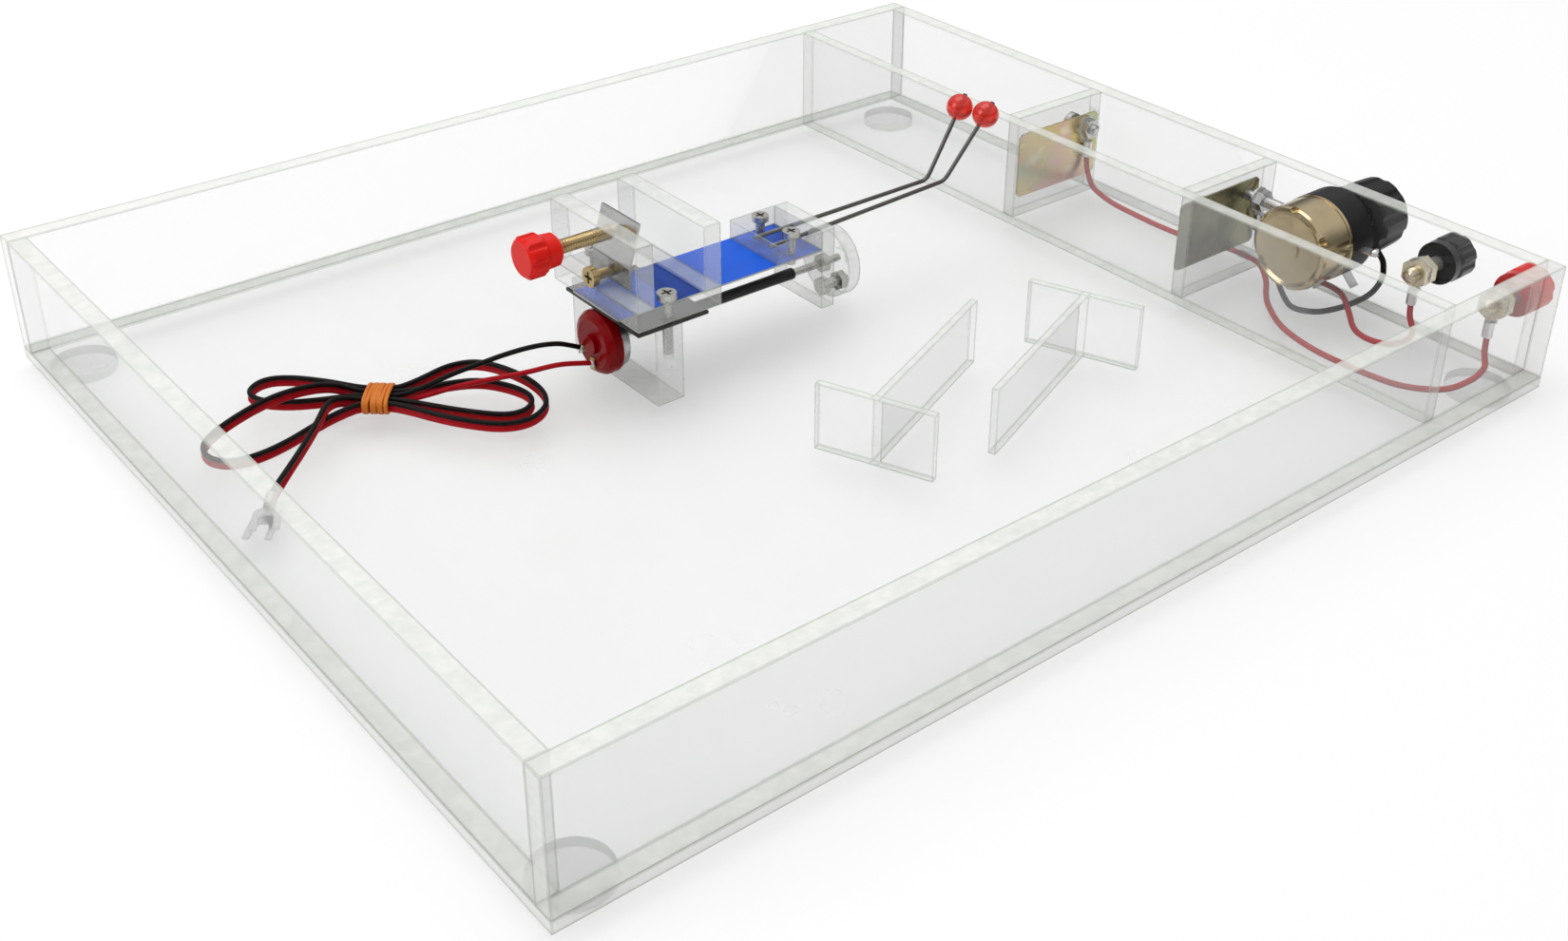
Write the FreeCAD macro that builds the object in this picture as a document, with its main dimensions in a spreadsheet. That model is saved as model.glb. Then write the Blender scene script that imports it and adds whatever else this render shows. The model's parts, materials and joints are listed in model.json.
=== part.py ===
"""Ripple tank: a clear tray with a battery bay, a rheostat and a motor-driven dipper unit, in mm."""
import FreeCAD
import Part
import Sketcher
import math
import os

from FreeCAD import Rotation, Vector

doc = FreeCAD.newDocument("ripple_tank")
sheet = doc.addObject("Spreadsheet::Sheet", "sizes")
sheet_rows = []
nodes = []


class Length:
    """A size that keeps both its value and the sheet expression it is worked out from."""

    def __init__(self, text, value):
        self.text = text
        self.value = float(value)

    def __add__(self, other):
        other = as_length(other)
        return Length("(%s + %s)" % (self.text, other.text), self.value + other.value)

    def __sub__(self, other):
        other = as_length(other)
        return Length("(%s - %s)" % (self.text, other.text), self.value - other.value)

    def __mul__(self, other):
        other = as_length(other)
        return Length("(%s * %s)" % (self.text, other.text), self.value * other.value)

    def __truediv__(self, other):
        other = as_length(other)
        return Length("(%s / %s)" % (self.text, other.text), self.value / other.value)

    def __radd__(self, other):
        return as_length(other) + self

    def __rsub__(self, other):
        return as_length(other) - self

    def __rmul__(self, other):
        return as_length(other) * self

    def __neg__(self):
        return as_length(0) - self


def as_length(number):
    if isinstance(number, Length):
        return number
    return Length("(%.6f)" % number, number)


def size(name, value, meaning):
    """Write one driving dimension to the sheet and hand back its length."""
    sheet_rows.append(name)
    row = len(sheet_rows)
    sheet.set("A%d" % row, meaning)
    sheet.set("B%d" % row, str(value))
    sheet.setAlias("B%d" % row, name)
    return Length("sizes." + name, value)


# Tray
tray_length = size("tray_length", 300, "Tray along X")
tray_width = size("tray_width", 255, "Tray along Y")
sheet_thickness = size("sheet_thickness", 3, "Thickness of the tray floor")
wall_thickness = size("wall_thickness", 5, "Thickness of the outer walls")
wall_height = size("wall_height", 32, "Walls above the floor")
foot_height = size("foot_height", 2.5, "Height of the round feet")
foot_diameter = size("foot_diameter", 16.5, "Diameter of the round feet")
foot_inset = size("foot_inset", 11, "Foot centre from the outer faces")
divider_thickness = size("divider_thickness", 4, "Thickness of the divider")
knob_reach = size("knob_reach", 13, "Rheostat knob beyond the right wall")

# Battery bay
bay_width = size("bay_width", 35, "Clear width of the battery bay")
partition_thickness = size("partition_thickness", 4, "Thickness of the battery partitions")
far_partition_offset = size("far_partition_offset", 154, "Near face of the far partition")
cell_gap = size("cell_gap", 63, "Clear gap between the battery partitions")
plate_width = size("plate_width", 33, "Width of a contact plate")
plate_height = size("plate_height", 20, "Height of a contact plate")
plate_thickness = size("plate_thickness", 0.6, "Thickness of a contact plate")
plate_base = size("plate_base", 12, "Lower edge of the contact plates above the table")
contact_bolt_inset = size("contact_bolt_inset", 6.5, "Contact bolt from the right wall's inner face")
contact_bolt_level = size("contact_bolt_level", 28, "Height of the contact bolts")
contact_bolt_diameter = size("contact_bolt_diameter", 3, "Diameter of the contact bolts")
spring_wire = size("spring_wire", 0.9, "Wire of the battery spring")
spring_reach = size("spring_reach", 9, "Length of the battery spring")

# Controls on the right wall
rheostat_offset = size("rheostat_offset", 63, "Rheostat axis from the tray's near face")
rheostat_level = size("rheostat_level", 26.3, "Height of the rheostat axis")
rheostat_diameter = size("rheostat_diameter", 24, "Diameter of the rheostat body")
can_diameter = size("can_diameter", 23.5, "Diameter of the rheostat can")
can_depth = size("can_depth", 12.3, "Length of the rheostat can")
shaft_diameter = size("shaft_diameter", 6, "Diameter of the rheostat shaft")
knob_diameter = size("knob_diameter", 21, "Diameter of the rheostat knob")
red_post_offset = size("red_post_offset", 12.3, "Red post axis from the tray's near face")
black_post_offset = size("black_post_offset", 35.5, "Black post axis from the tray's near face")
post_level = size("post_level", 24.3, "Height of the binding posts")
stud_diameter = size("stud_diameter", 4, "Diameter of the binding post studs")
cap_diameter = size("cap_diameter", 12.4, "Diameter of the binding post caps")
cap_reach = size("cap_reach", 10.4, "Binding posts beyond the right wall")
wire_diameter = size("wire_diameter", 1.6, "Diameter of the hookup wires")

# Dipper unit
unit_left = size("unit_left", 107, "Left face of the clamp from the tray's left face")
unit_line = size("unit_line", 147.1, "Dipper unit's centre line from the tray's near face")
clamp_length = size("clamp_length", 25, "Clamp along X")
clamp_width = size("clamp_width", 37.4, "Clamp along Y")
clamp_sheet = size("clamp_sheet", 5, "Thickness of the clamp's sheets")
cheek_height = size("cheek_height", 17.5, "Clamp cheeks above the clamp base")
leg_height = size("leg_height", 21, "Support leg above the tray floor")
leg_thickness = size("leg_thickness", 8, "Support leg along X")
leg_inset = size("leg_inset", 5, "Support leg from the clamp's left face")
leaf_thickness = size("leaf_thickness", 0.5, "Thickness of the leaf spring")
leaf_width = size("leaf_width", 20.5, "Width of the leaf spring")
leaf_length = size("leaf_length", 64.3, "Length of the leaf spring")
clamp_plate_width = size("clamp_plate_width", 32.2, "Width of the plate under the leaf spring")
clamp_plate_thickness = size("clamp_plate_thickness", 0.8, "Thickness of the clamp plate")
drive_level = size("drive_level", 17.4, "Height of the motor shaft's axis")
motor_diameter = size("motor_diameter", 17, "Diameter of the motor can")
motor_can_length = size("motor_can_length", 2.6, "Length of the motor can that its end cap leaves bare")
motor_cap_length = size("motor_cap_length", 5, "Length of the motor's end cap")
drive_shaft_diameter = size("drive_shaft_diameter", 2, "Diameter of the motor and stub shafts")
coupling_diameter = size("coupling_diameter", 3.2, "Diameter of the rubber coupling tube")
disc_radius = size("disc_radius", 10, "Radius of the eccentric disc")
disc_thickness = size("disc_thickness", 4, "Thickness of the eccentric disc")
bolt_throw = size("bolt_throw", 7.2, "Eccentric bolt from the drive axis")
block_length = size("block_length", 15, "Rod block along X")
block_height = size("block_height", 5.4, "Height of the rod block")
bearing_thickness = size("bearing_thickness", 4.2, "Thickness of the bearing plate")
bearing_height = size("bearing_height", 23, "Height of the bearing plate")
rod_diameter = size("rod_diameter", 1.2, "Diameter of the dipper rods")
bead_diameter = size("bead_diameter", 7.5, "Diameter of the dipper beads")
clamp_screw_diameter = size("clamp_screw_diameter", 3.8, "Diameter of the clamp screw")
clamp_screw_level = size("clamp_screw_level", 46.5, "Height of the clamp screw")
clamp_knob_diameter = size("clamp_knob_diameter", 10.9, "Diameter of the clamp knob")

# Barriers and motor lead
barrier_length = size("barrier_length", 55.5, "Length of a barrier blade")
barrier_height = size("barrier_height", 18, "Height of the barriers")
barrier_thickness = size("barrier_thickness", 2, "Thickness of the barriers")
barrier_foot_length = size("barrier_foot_length", 31.3, "Length of a barrier's foot plate")
lead_diameter = size("lead_diameter", 1.3, "Diameter of each conductor of the motor lead")

doc.recompute()

# Places worked out from the driving dimensions, from the tray's near left corner on the table
origin_x = (tray_length + knob_reach) / 2
origin_y = tray_width / 2
floor_top = foot_height + sheet_thickness
bay_right = tray_length - wall_thickness
bay_left = bay_right - bay_width
divider_offset = bay_left - divider_thickness
near_partition_offset = far_partition_offset - cell_gap - partition_thickness
near_partition_back = near_partition_offset + partition_thickness
contact_bolt_x = bay_right - contact_bolt_inset
leg_left = unit_left + leg_inset
motor_end = leg_left - motor_can_length - motor_cap_length
leg_right = leg_left + leg_thickness
leg_top = floor_top + leg_height
plate_top = leg_top + clamp_plate_thickness
leaf_top = plate_top + leaf_thickness
base_bottom = leaf_top
base_top = base_bottom + clamp_sheet
unit_near = unit_line - clamp_width / 2
unit_right = unit_left + clamp_length
leaf_right = unit_left + leaf_length
block_left = leaf_right - block_length
bearing_left = leaf_right
bearing_right = bearing_left + bearing_thickness
disc_left = bearing_right + 5.5
disc_right = disc_left + disc_thickness

ALONG = {
    "x": Rotation(Vector(0, 1, 0), 90),
    "-x": Rotation(Vector(0, 1, 0), -90),
    "y": Rotation(Vector(1, 0, 0), -90),
    "-y": Rotation(Vector(1, 0, 0), 90),
    "z": Rotation(),
    "-z": Rotation(Vector(1, 0, 0), 180),
}


def bind(item, name, value):
    """Tie one property to the sheet."""
    item.setExpression(name, as_length(value).text)


def place(item, spot, rotation=Rotation()):
    """Put an object at a spot measured from the tray's corner."""
    item.Placement = FreeCAD.Placement(Vector(), rotation)
    bind(item, "Placement.Base.x", spot[0] - origin_x)
    bind(item, "Placement.Base.y", spot[1] - origin_y)
    bind(item, "Placement.Base.z", spot[2])
    return item


def node(item, label):
    """List a finished sub-part under its own name."""
    item.Label = label
    nodes.append(item)
    return item


def box(name, spot, extent, rotation=Rotation()):
    item = doc.addObject("Part::Box", name)
    bind(item, "Length", extent[0])
    bind(item, "Width", extent[1])
    bind(item, "Height", extent[2])
    return place(item, spot, rotation)


def cylinder(name, spot, direction, diameter, height):
    item = doc.addObject("Part::Cylinder", name)
    bind(item, "Radius", diameter / 2)
    bind(item, "Height", height)
    return place(item, spot, ALONG[direction])


def hexagon(name, spot, direction, across_flats, height):
    item = doc.addObject("Part::Prism", name)
    item.Polygon = 6
    bind(item, "Circumradius", across_flats / math.sqrt(3))
    bind(item, "Height", height)
    return place(item, spot, ALONG[direction])


def fuse(name, items):
    item = doc.addObject("Part::MultiFuse", name)
    item.Shapes = items
    return item


def cut(name, base, tools):
    tool = tools[0]
    if len(tools) > 1:
        tool = fuse(name + "_holes", tools)
    item = doc.addObject("Part::Cut", name)
    item.Base = base
    item.Tool = tool
    return item


def solid_feature(name, shape):
    """Hold a swept shape drawn from the tray's corner and move it to the part's frame."""
    item = doc.addObject("Part::Feature", name)
    item.Shape = shape
    return place(item, (as_length(0), as_length(0), as_length(0)))


# Sketched bodies
def origin_plane(body, role):
    for feature in body.Origin.OriginFeatures:
        if feature.Role == role:
            return feature


def new_sketch(body, name, role):
    sketch = body.newObject("Sketcher::SketchObject", name)
    sketch.AttachmentSupport = [(origin_plane(body, role), "")]
    sketch.MapMode = "FlatFace"
    return sketch


def hold_point(sketch, geometry, point, spot):
    """Fix a sketch point by its two distances from the sketch's origin."""
    for kind, value in zip(("DistanceX", "DistanceY"), spot):
        value = as_length(value)
        constraint = Sketcher.Constraint(kind, -1, 1, geometry, point, value.value)
        index = sketch.addConstraint(constraint)
        bind(sketch, "Constraints[%d]" % index, value)


def draw_outline(sketch, outline):
    corners = [Vector(as_length(x).value, as_length(y).value, 0) for x, y in outline]
    lines = []
    for start, end in zip(corners, corners[1:] + corners[:1]):
        lines.append(sketch.addGeometry(Part.LineSegment(start, end)))
    for line, following in zip(lines, lines[1:] + lines[:1]):
        sketch.addConstraint(Sketcher.Constraint("Coincident", line, 2, following, 1))
    for line, spot in zip(lines, outline):
        hold_point(sketch, line, 1, spot)


def draw_circle(sketch, spot, diameter):
    centre = Vector(as_length(spot[0]).value, as_length(spot[1]).value, 0)
    radius = as_length(diameter) / 2
    circle = sketch.addGeometry(Part.Circle(centre, Vector(0, 0, 1), radius.value))
    hold_point(sketch, circle, 3, spot)
    index = sketch.addConstraint(Sketcher.Constraint("Radius", circle, radius.value))
    bind(sketch, "Constraints[%d]" % index, radius)


def padded(name, outline, thickness, holes=()):
    """A plate drawn flat and padded up, with round holes through it."""
    body = doc.addObject("PartDesign::Body", name)
    sketch = new_sketch(body, name + "_outline", "XY_Plane")
    draw_outline(sketch, outline)
    for spot, diameter in holes:
        draw_circle(sketch, spot, diameter)
    pad = body.newObject("PartDesign::Pad", name + "_pad")
    pad.Profile = sketch
    bind(pad, "Length", thickness)
    body.Tip = pad
    return body


def revolved(name, profile):
    """A turned piece drawn as radius and height, about the body's own Z axis."""
    body = doc.addObject("PartDesign::Body", name)
    sketch = new_sketch(body, name + "_profile", "XZ_Plane")
    draw_outline(sketch, profile)
    turn = body.newObject("PartDesign::Revolution", name + "_turn")
    turn.Profile = sketch
    turn.ReferenceAxis = (sketch, ["V_Axis"])
    turn.Angle = 360
    body.Tip = turn
    return body


def flute(body, name, centre_radius, flute_diameter, count, depth=None):
    """Cut even round grooves down the side of a turned piece."""
    sketch = new_sketch(body, name + "_flute", "XY_Plane")
    draw_circle(sketch, (centre_radius, 0), flute_diameter)
    pocket = body.newObject("PartDesign::Pocket", name + "_flute_cut")
    pocket.Profile = sketch
    pocket.Reversed = True
    if depth is None:
        pocket.Type = "ThroughAll"
    else:
        bind(pocket, "Length", depth)
    pattern = body.newObject("PartDesign::PolarPattern", name + "_flutes")
    pattern.Originals = [pocket]
    pattern.Axis = (sketch, ["N_Axis"])
    pattern.Angle = 360
    pattern.Occurrences = count
    body.Tip = pattern
    return body


# Wires and cords
def numbers(points):
    return [Vector(*[as_length(value).value for value in point]) for point in points]


def runs_and_arcs(points):
    """Edges of straight runs joined by tangent arcs as large as the runs allow, and the least radius."""
    edges = []
    radii = []
    last = points[0]
    for before, corner, after in zip(points, points[1:], points[2:]):
        run_in = corner - before
        run_out = after - corner
        half_turn = run_in.getAngle(run_out) / 2
        reach = 0.45 * min(run_in.Length, run_out.Length)
        radius = reach / math.tan(half_turn)
        start = corner - run_in.normalize() * reach
        end = corner + run_out.normalize() * reach
        inward = (run_out - run_in).normalize()
        middle = corner + inward * (radius / math.cos(half_turn) - radius)
        edges.append(Part.LineSegment(last, start).toShape())
        edges.append(Part.Arc(start, middle, end).toShape())
        radii.append(radius)
        last = end
    edges.append(Part.LineSegment(last, points[-1]).toShape())
    return edges, min(radii)


def sweep(edges, diameter):
    """A round tube along edges that meet end to end."""
    path = Part.Wire(edges)
    first = edges[0]
    start = first.valueAt(first.FirstParameter)
    heading = first.tangentAt(first.FirstParameter)
    section = Part.Wire([Part.Circle(start, heading, diameter / 2).toShape()])
    return path.makePipeShell([section], True, False)


def report_tube(name, shape, edges, diameter, least):
    length = sum(edge.Length for edge in edges)
    ideal = length * math.pi * diameter ** 2 / 4
    print("%s: length %.1f, least radius %.2f, volume ratio %.4f"
          % (name, length, least, shape.Volume / ideal))


def routed_wire(name, points, diameter):
    edges, least = runs_and_arcs(numbers(points))
    shape = sweep(edges, diameter.value)
    report_tube(name, shape, edges, diameter.value, least)
    return solid_feature(name, shape)


def spline_through(points, steps):
    """Points along a smooth curve through the given ones, with its tangents."""
    curve = Part.BSplineCurve()
    curve.interpolate(points)
    spread = [curve.FirstParameter + (curve.LastParameter - curve.FirstParameter) * step / steps
              for step in range(steps + 1)]
    return [curve.value(value) for value in spread], [Vector(*curve.tangent(value)[0]) for value in spread]


def arc_between(start, heading, end):
    """The arc that leaves start along heading and reaches end."""
    chord = end - start
    angle = heading.getAngle(chord)
    if angle < 1e-4:
        return Part.LineSegment(start, end).toShape()
    bulge = (heading - chord * (heading.dot(chord) / chord.dot(chord))).normalize()
    middle = start + chord * 0.5 + bulge * (chord.Length / 2 * math.tan(angle / 2))
    return Part.Arc(start, middle, end).toShape()


def biarcs(points, headings):
    """Pairs of tangent arcs through the points, each leaving along its heading."""
    edges = []
    for start, end, leave, arrive in zip(points, points[1:], headings, headings[1:]):
        leave = Vector(leave).normalize()
        arrive = Vector(arrive).normalize()
        chord = end - start
        spread = 2 * (1 - leave.dot(arrive))
        along = chord.dot(leave + arrive)
        if spread < 1e-9:
            reach = chord.dot(chord) / (2 * along)
        else:
            reach = (math.sqrt(along ** 2 + spread * chord.dot(chord)) - along) / spread
        joint = (start + end + (leave - arrive) * reach) * 0.5
        edges.append(arc_between(start, leave, joint))
        edges.append(arc_between(joint, (joint - start - leave * reach).normalize(), end))
    return edges


def least_gap(points, diameter):
    """The smallest clear distance between stretches of one tube that are not neighbours."""
    closest = 1e9
    apart = int(4 * diameter / points[0].distanceToPoint(points[1])) + 1
    for index, point in enumerate(points):
        for other in points[index + apart:]:
            closest = min(closest, point.distanceToPoint(other))
    return closest - diameter


# Tray
def make_tray():
    inner_width = tray_width - wall_thickness * 2
    zero = as_length(0)
    node(box("base_sheet_box", (zero, zero, foot_height),
             (tray_length, tray_width, sheet_thickness)), "base_sheet")
    node(box("near_wall_box", (zero, zero, floor_top),
             (tray_length, wall_thickness, wall_height)), "near_long_wall")
    node(box("far_wall_box", (zero, tray_width - wall_thickness, floor_top),
             (tray_length, wall_thickness, wall_height)), "far_long_wall")
    node(box("left_wall_box", (zero, wall_thickness, floor_top),
             (wall_thickness, inner_width, wall_height)), "left_end_wall")
    right = box("right_wall_box", (bay_right, wall_thickness, floor_top),
                (wall_thickness, inner_width, wall_height))
    holes = [cylinder("bush_hole", (bay_right - 1, rheostat_offset, rheostat_level), "x",
                      as_length(7.2), wall_thickness + 2)]
    for name, offset in (("red_post_hole", red_post_offset), ("black_post_hole", black_post_offset)):
        holes.append(cylinder(name, (bay_right - 1, offset, post_level), "x",
                              stud_diameter + 0.2, wall_thickness + 2))
    node(cut("right_wall_cut", right, holes), "right_end_wall")
    node(box("divider_box", (divider_offset, wall_thickness, floor_top),
             (divider_thickness, inner_width, wall_height)), "divider_wall")


def make_feet():
    feet = []
    for side, x in (("left", foot_inset), ("right", tray_length - foot_inset)):
        for end, y in (("near", foot_inset), ("far", tray_width - foot_inset)):
            feet.append(cylinder("%s_%s_foot" % (side, end), (x, y, as_length(0)), "z",
                                 foot_diameter, foot_height))
    node(fuse("feet", feet), "tank_feet")


# Battery bay
wire_hole_level = floor_top + 4.3
wire_hole_x = bay_right - 7


def make_partitions():
    hole_diameter = contact_bolt_diameter + 0.2
    for side, near_face in (("far", far_partition_offset), ("near", near_partition_offset)):
        slab = box(side + "_partition_box", (bay_left, near_face, floor_top),
                   (bay_width, partition_thickness, wall_height))
        holes = [cylinder(side + "_partition_hole", (contact_bolt_x, near_face - 1, contact_bolt_level),
                          "y", hole_diameter, partition_thickness + 2)]
        if side == "near":
            holes.append(cylinder("wire_hole", (wire_hole_x, near_face - 1, wire_hole_level), "y",
                                  wire_diameter + 1, partition_thickness + 2))
        node(cut(side + "_partition_cut", slab, holes), "battery_partition_" + side)


def make_contact_plates():
    half_width = plate_width / 2
    half_height = plate_height / 2
    nip = 1
    outline = [(nip - half_width, -half_height), (half_width - nip, -half_height),
               (half_width, nip - half_height), (half_width, half_height - nip),
               (half_width - nip, half_height), (nip - half_width, half_height),
               (-half_width, half_height - nip), (-half_width, nip - half_height)]
    middle_x = (bay_left + bay_right) / 2 - 0.4
    middle_level = plate_base + half_height
    bolt_spot = (contact_bolt_x - middle_x, middle_level - contact_bolt_level)
    plates = []
    for side, face in (("far", far_partition_offset - plate_thickness), ("near", near_partition_back)):
        name = side + "_contact_plate"
        body = padded(name, outline, plate_thickness, [(bolt_spot, contact_bolt_diameter + 0.2)])
        place(body, (middle_x, face, middle_level), ALONG["y"])
        plates.append(body)
    node(fuse("both_contact_plates", plates), "contact_plates")


def make_contact_spring():
    """A conical coil that opens towards its contact plate."""
    turns = 3.5
    steps_per_turn = 12
    wide = 7.6
    narrow = 4.4
    wire = spring_wire.value
    centre_x = ((bay_left + bay_right) / 2).value
    level = (plate_base + plate_height / 2).value
    start = (near_partition_back + plate_thickness).value + wire / 2 + 0.02
    climb = spring_reach.value - wire
    points = []
    for step in range(int(turns * steps_per_turn) + 1):
        share = step / (turns * steps_per_turn)
        radius = wide + (narrow - wide) * share
        angle = 2 * math.pi * turns * share
        points.append(Vector(centre_x + radius * math.cos(angle), start + climb * share,
                             level + radius * math.sin(angle)))
    fine, headings = spline_through(points, len(points) * 2)
    edges = biarcs(fine, headings)
    shape = sweep(edges, wire)
    report_tube("contact_spring", shape, edges, wire, narrow)
    print("contact_spring: least gap %.2f" % least_gap(fine, wire))
    node(solid_feature("battery_spring", shape), "contact_spring")


def stud_with_nut(name, start, direction, diameter, length, nuts, head=None):
    """A threaded stud along an axis, with hexagon nuts and perhaps a round head, as one solid."""
    sign = -1 if direction.startswith("-") else 1
    axis = "xyz".index(direction[-1])

    def shifted(distance):
        spot = list(start)
        spot[axis] = spot[axis] + sign * distance
        return tuple(spot)

    pieces = [cylinder(name + "_shank", start, direction, diameter, length)]
    for index, (distance, across_flats, height) in enumerate(nuts):
        nut_name = "%s_nut_%d" % (name, index)
        pieces.append(hexagon(nut_name, shifted(distance), direction, across_flats, height))
    if head:
        pieces.append(cylinder(name + "_head", start, direction, head[0], head[1]))
    return fuse(name, pieces)


def make_contact_bolts():
    """Bolts through both partitions, with their heads towards +Y and their nuts towards -Y."""
    head = (as_length(5.5), as_length(2))
    far_start = far_partition_offset + partition_thickness + head[1]
    far_stack = head[1] + partition_thickness + plate_thickness + 0.6
    near_start = near_partition_back + plate_thickness + head[1]
    near_stack = head[1] + plate_thickness + partition_thickness + 0.6
    bolts = []
    for side, start, stack, tail in (("far", far_start, far_stack, 3.5), ("near", near_start, near_stack, 8.5)):
        spot = (contact_bolt_x, start, contact_bolt_level)
        bolts.append(stud_with_nut(side + "_contact_bolt", spot, "-y", contact_bolt_diameter,
                                   stack + tail, [(stack, as_length(5.5), as_length(2.4))], head))
    node(fuse("both_contact_bolts", bolts), "contact_bolts")


def ring_lug(name, spot, direction, ring_diameter, hole_diameter, barrel_length):
    """A crimp lug: a flat ring on an axis with its barrel hanging down beside it."""
    thickness = as_length(0.6)
    barrel_diameter = as_length(2.8)
    drop = ring_diameter / 2
    ring = cylinder(name + "_ring", spot, direction, ring_diameter, thickness)
    sign = -1 if direction.startswith("-") else 1
    low_face = spot["xyz".index(direction[-1])]
    if sign < 0:
        low_face = low_face - thickness
    top = spot[2] - drop
    if direction[-1] == "x":
        neck = box(name + "_neck", (low_face, spot[1] - 1.4, top - 1.2), (thickness, as_length(2.8), drop - 0.5))
        axis_spot = (low_face + thickness - 1.4, spot[1], top - 0.6 - barrel_length)
    else:
        neck = box(name + "_neck", (spot[0] - 1.4, low_face, top - 1.2), (as_length(2.8), thickness, drop - 0.5))
        axis_spot = (spot[0], low_face + thickness - 1.4, top - 0.6 - barrel_length)
    barrel = cylinder(name + "_barrel", axis_spot, "z", barrel_diameter, barrel_length)
    hole = cylinder(name + "_hole", spot, direction, hole_diameter, thickness)
    bore_spot = (axis_spot[0], axis_spot[1], axis_spot[2])
    bore = cylinder(name + "_bore", bore_spot, "z", wire_diameter + 0.1, barrel_length - 0.8)
    lug = cut(name, fuse(name + "_plain", [ring, neck, barrel]), [hole, bore])
    return lug, axis_spot


def make_terminals():
    """Ring lugs on the contact bolts and posts, and the rheostat's solder tags."""
    pieces = []
    mouths = {}
    far_face = far_partition_offset - plate_thickness
    for side, face in (("far", far_face), ("near", near_partition_offset)):
        spot = (contact_bolt_x, face, contact_bolt_level)
        lug, mouths[side] = ring_lug(side + "_contact_lug", spot, "-y", as_length(7),
                                     contact_bolt_diameter + 0.2, as_length(5))
        pieces.append(lug)
    for side, offset in (("red", red_post_offset), ("black", black_post_offset)):
        spot = (bay_right - 3.1, offset, post_level)
        lug, mouths[side] = ring_lug(side + "_post_lug", spot, "x", as_length(8),
                                     stud_diameter + 0.2, as_length(4.5))
        pieces.append(lug)
    for index, tag in enumerate(rheostat_tags("tag", as_length(0))):
        pieces.append(tag)
    node(fuse("metal_terminals", pieces), "terminals")
    return mouths


# Rheostat
tag_angles = (180, 225, 270)
tag_x = bay_right - 7


def rheostat_tags(prefix, spare):
    """Flat tags that stick out of the rheostat body, turned about its axis."""
    width = as_length(3)
    thickness = as_length(0.6)
    length = as_length(6.4)
    root = rheostat_diameter / 2 - 2
    tags = []
    for angle in tag_angles:
        lean = math.radians(angle)
        outward = (math.cos(lean), math.sin(lean))
        across = (-outward[1], outward[0])
        y = rheostat_offset + root * outward[0] - across[0] * (thickness / 2)
        z = rheostat_level + root * outward[1] - across[1] * (thickness / 2)
        tag = box("%s_%d" % (prefix, angle), (tag_x - width / 2, y, z), (width, length + spare, thickness),
                  Rotation(Vector(1, 0, 0), angle))
        tags.append(tag)
    return tags


def make_rheostat():
    can_start = bay_right - 0.6 - 10.4 - can_depth
    rim = as_length(1)
    radius = can_diameter / 2
    can = revolved("rheostat_can_body", [
        (0, 0), (3, 0), (3, 0.5), (radius - 2.2, 0.5), (radius - 1.2, 0), (radius - 0.3, 0.3),
        (radius, 1.2), (radius, can_depth - rim), (radius + 0.2, can_depth - rim),
        (radius + 0.2, can_depth), (0, can_depth)])
    flute(can, "rheostat_can", radius + 0.1, as_length(2.4), 6, as_length(1.8))
    place(can, (can_start, rheostat_offset, rheostat_level), ALONG["x"])
    node(can, "rheostat_can")

    body_start = can_start + can_depth
    body_length = as_length(10.4)
    outer = rheostat_diameter / 2
    bore = shaft_diameter / 2 + 0.3
    bore_depth = as_length(5)
    turned = revolved("rheostat_housing", [
        (0, 0), (outer, 0), (outer, body_length - 1.5), (outer - 2, body_length), (bore, body_length),
        (bore, body_length - bore_depth), (0, body_length - bore_depth)])
    place(turned, (body_start, rheostat_offset, rheostat_level), ALONG["x"])
    node(cut("rheostat_housing_cut", turned, rheostat_tags("tag_slot", as_length(0.01))), "rheostat_body")

    bush_start = bay_right - 0.6
    bush_length = wall_thickness + 4.6
    tube = cylinder("bush_tube", (bush_start, rheostat_offset, rheostat_level), "x", as_length(7), bush_length)
    flange = cylinder("bush_flange", (bush_start, rheostat_offset, rheostat_level), "x",
                      as_length(11), as_length(0.6))
    nut = hexagon("bush_nut", (tray_length, rheostat_offset, rheostat_level), "x", as_length(10), as_length(2.2))
    hollow = cylinder("bush_bore", (bush_start - 1, rheostat_offset, rheostat_level), "x",
                      shaft_diameter + 0.1, bush_length + 2)
    node(cut("bush_cut", fuse("bush_plain", [tube, flange, nut]), [hollow]), "rheostat_bush")
    return bore_depth


def make_rheostat_knob(bore_depth):
    gap = as_length(0.8)
    height = knob_reach - gap
    outer = knob_diameter / 2
    recess = as_length(6.6)
    recess_depth = as_length(5)
    knob = revolved("rheostat_knob_body", [
        (0, recess_depth), (recess, recess_depth), (recess, 0), (outer - 0.8, 0), (outer, 0.8),
        (outer - 0.6, height - 1.6), (outer - 2.2, height), (5, height), (4.4, height - 0.7),
        (0, height - 0.7)])
    flute(knob, "rheostat_knob", outer + 0.9, as_length(4.2), 10)
    place(knob, (tray_length + gap, rheostat_offset, rheostat_level), ALONG["x"])
    shaft_start = bay_right - bore_depth + 0.4
    shaft = cylinder("rheostat_shaft", (shaft_start, rheostat_offset, rheostat_level), "x", shaft_diameter,
                     tray_length + gap + recess_depth + 1 - shaft_start)
    node(fuse("rheostat_knob_and_shaft", [knob, shaft]), "rheostat_knob")


# Binding posts
collar_length = as_length(2.5)
washer_thickness = as_length(0.6)


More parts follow.
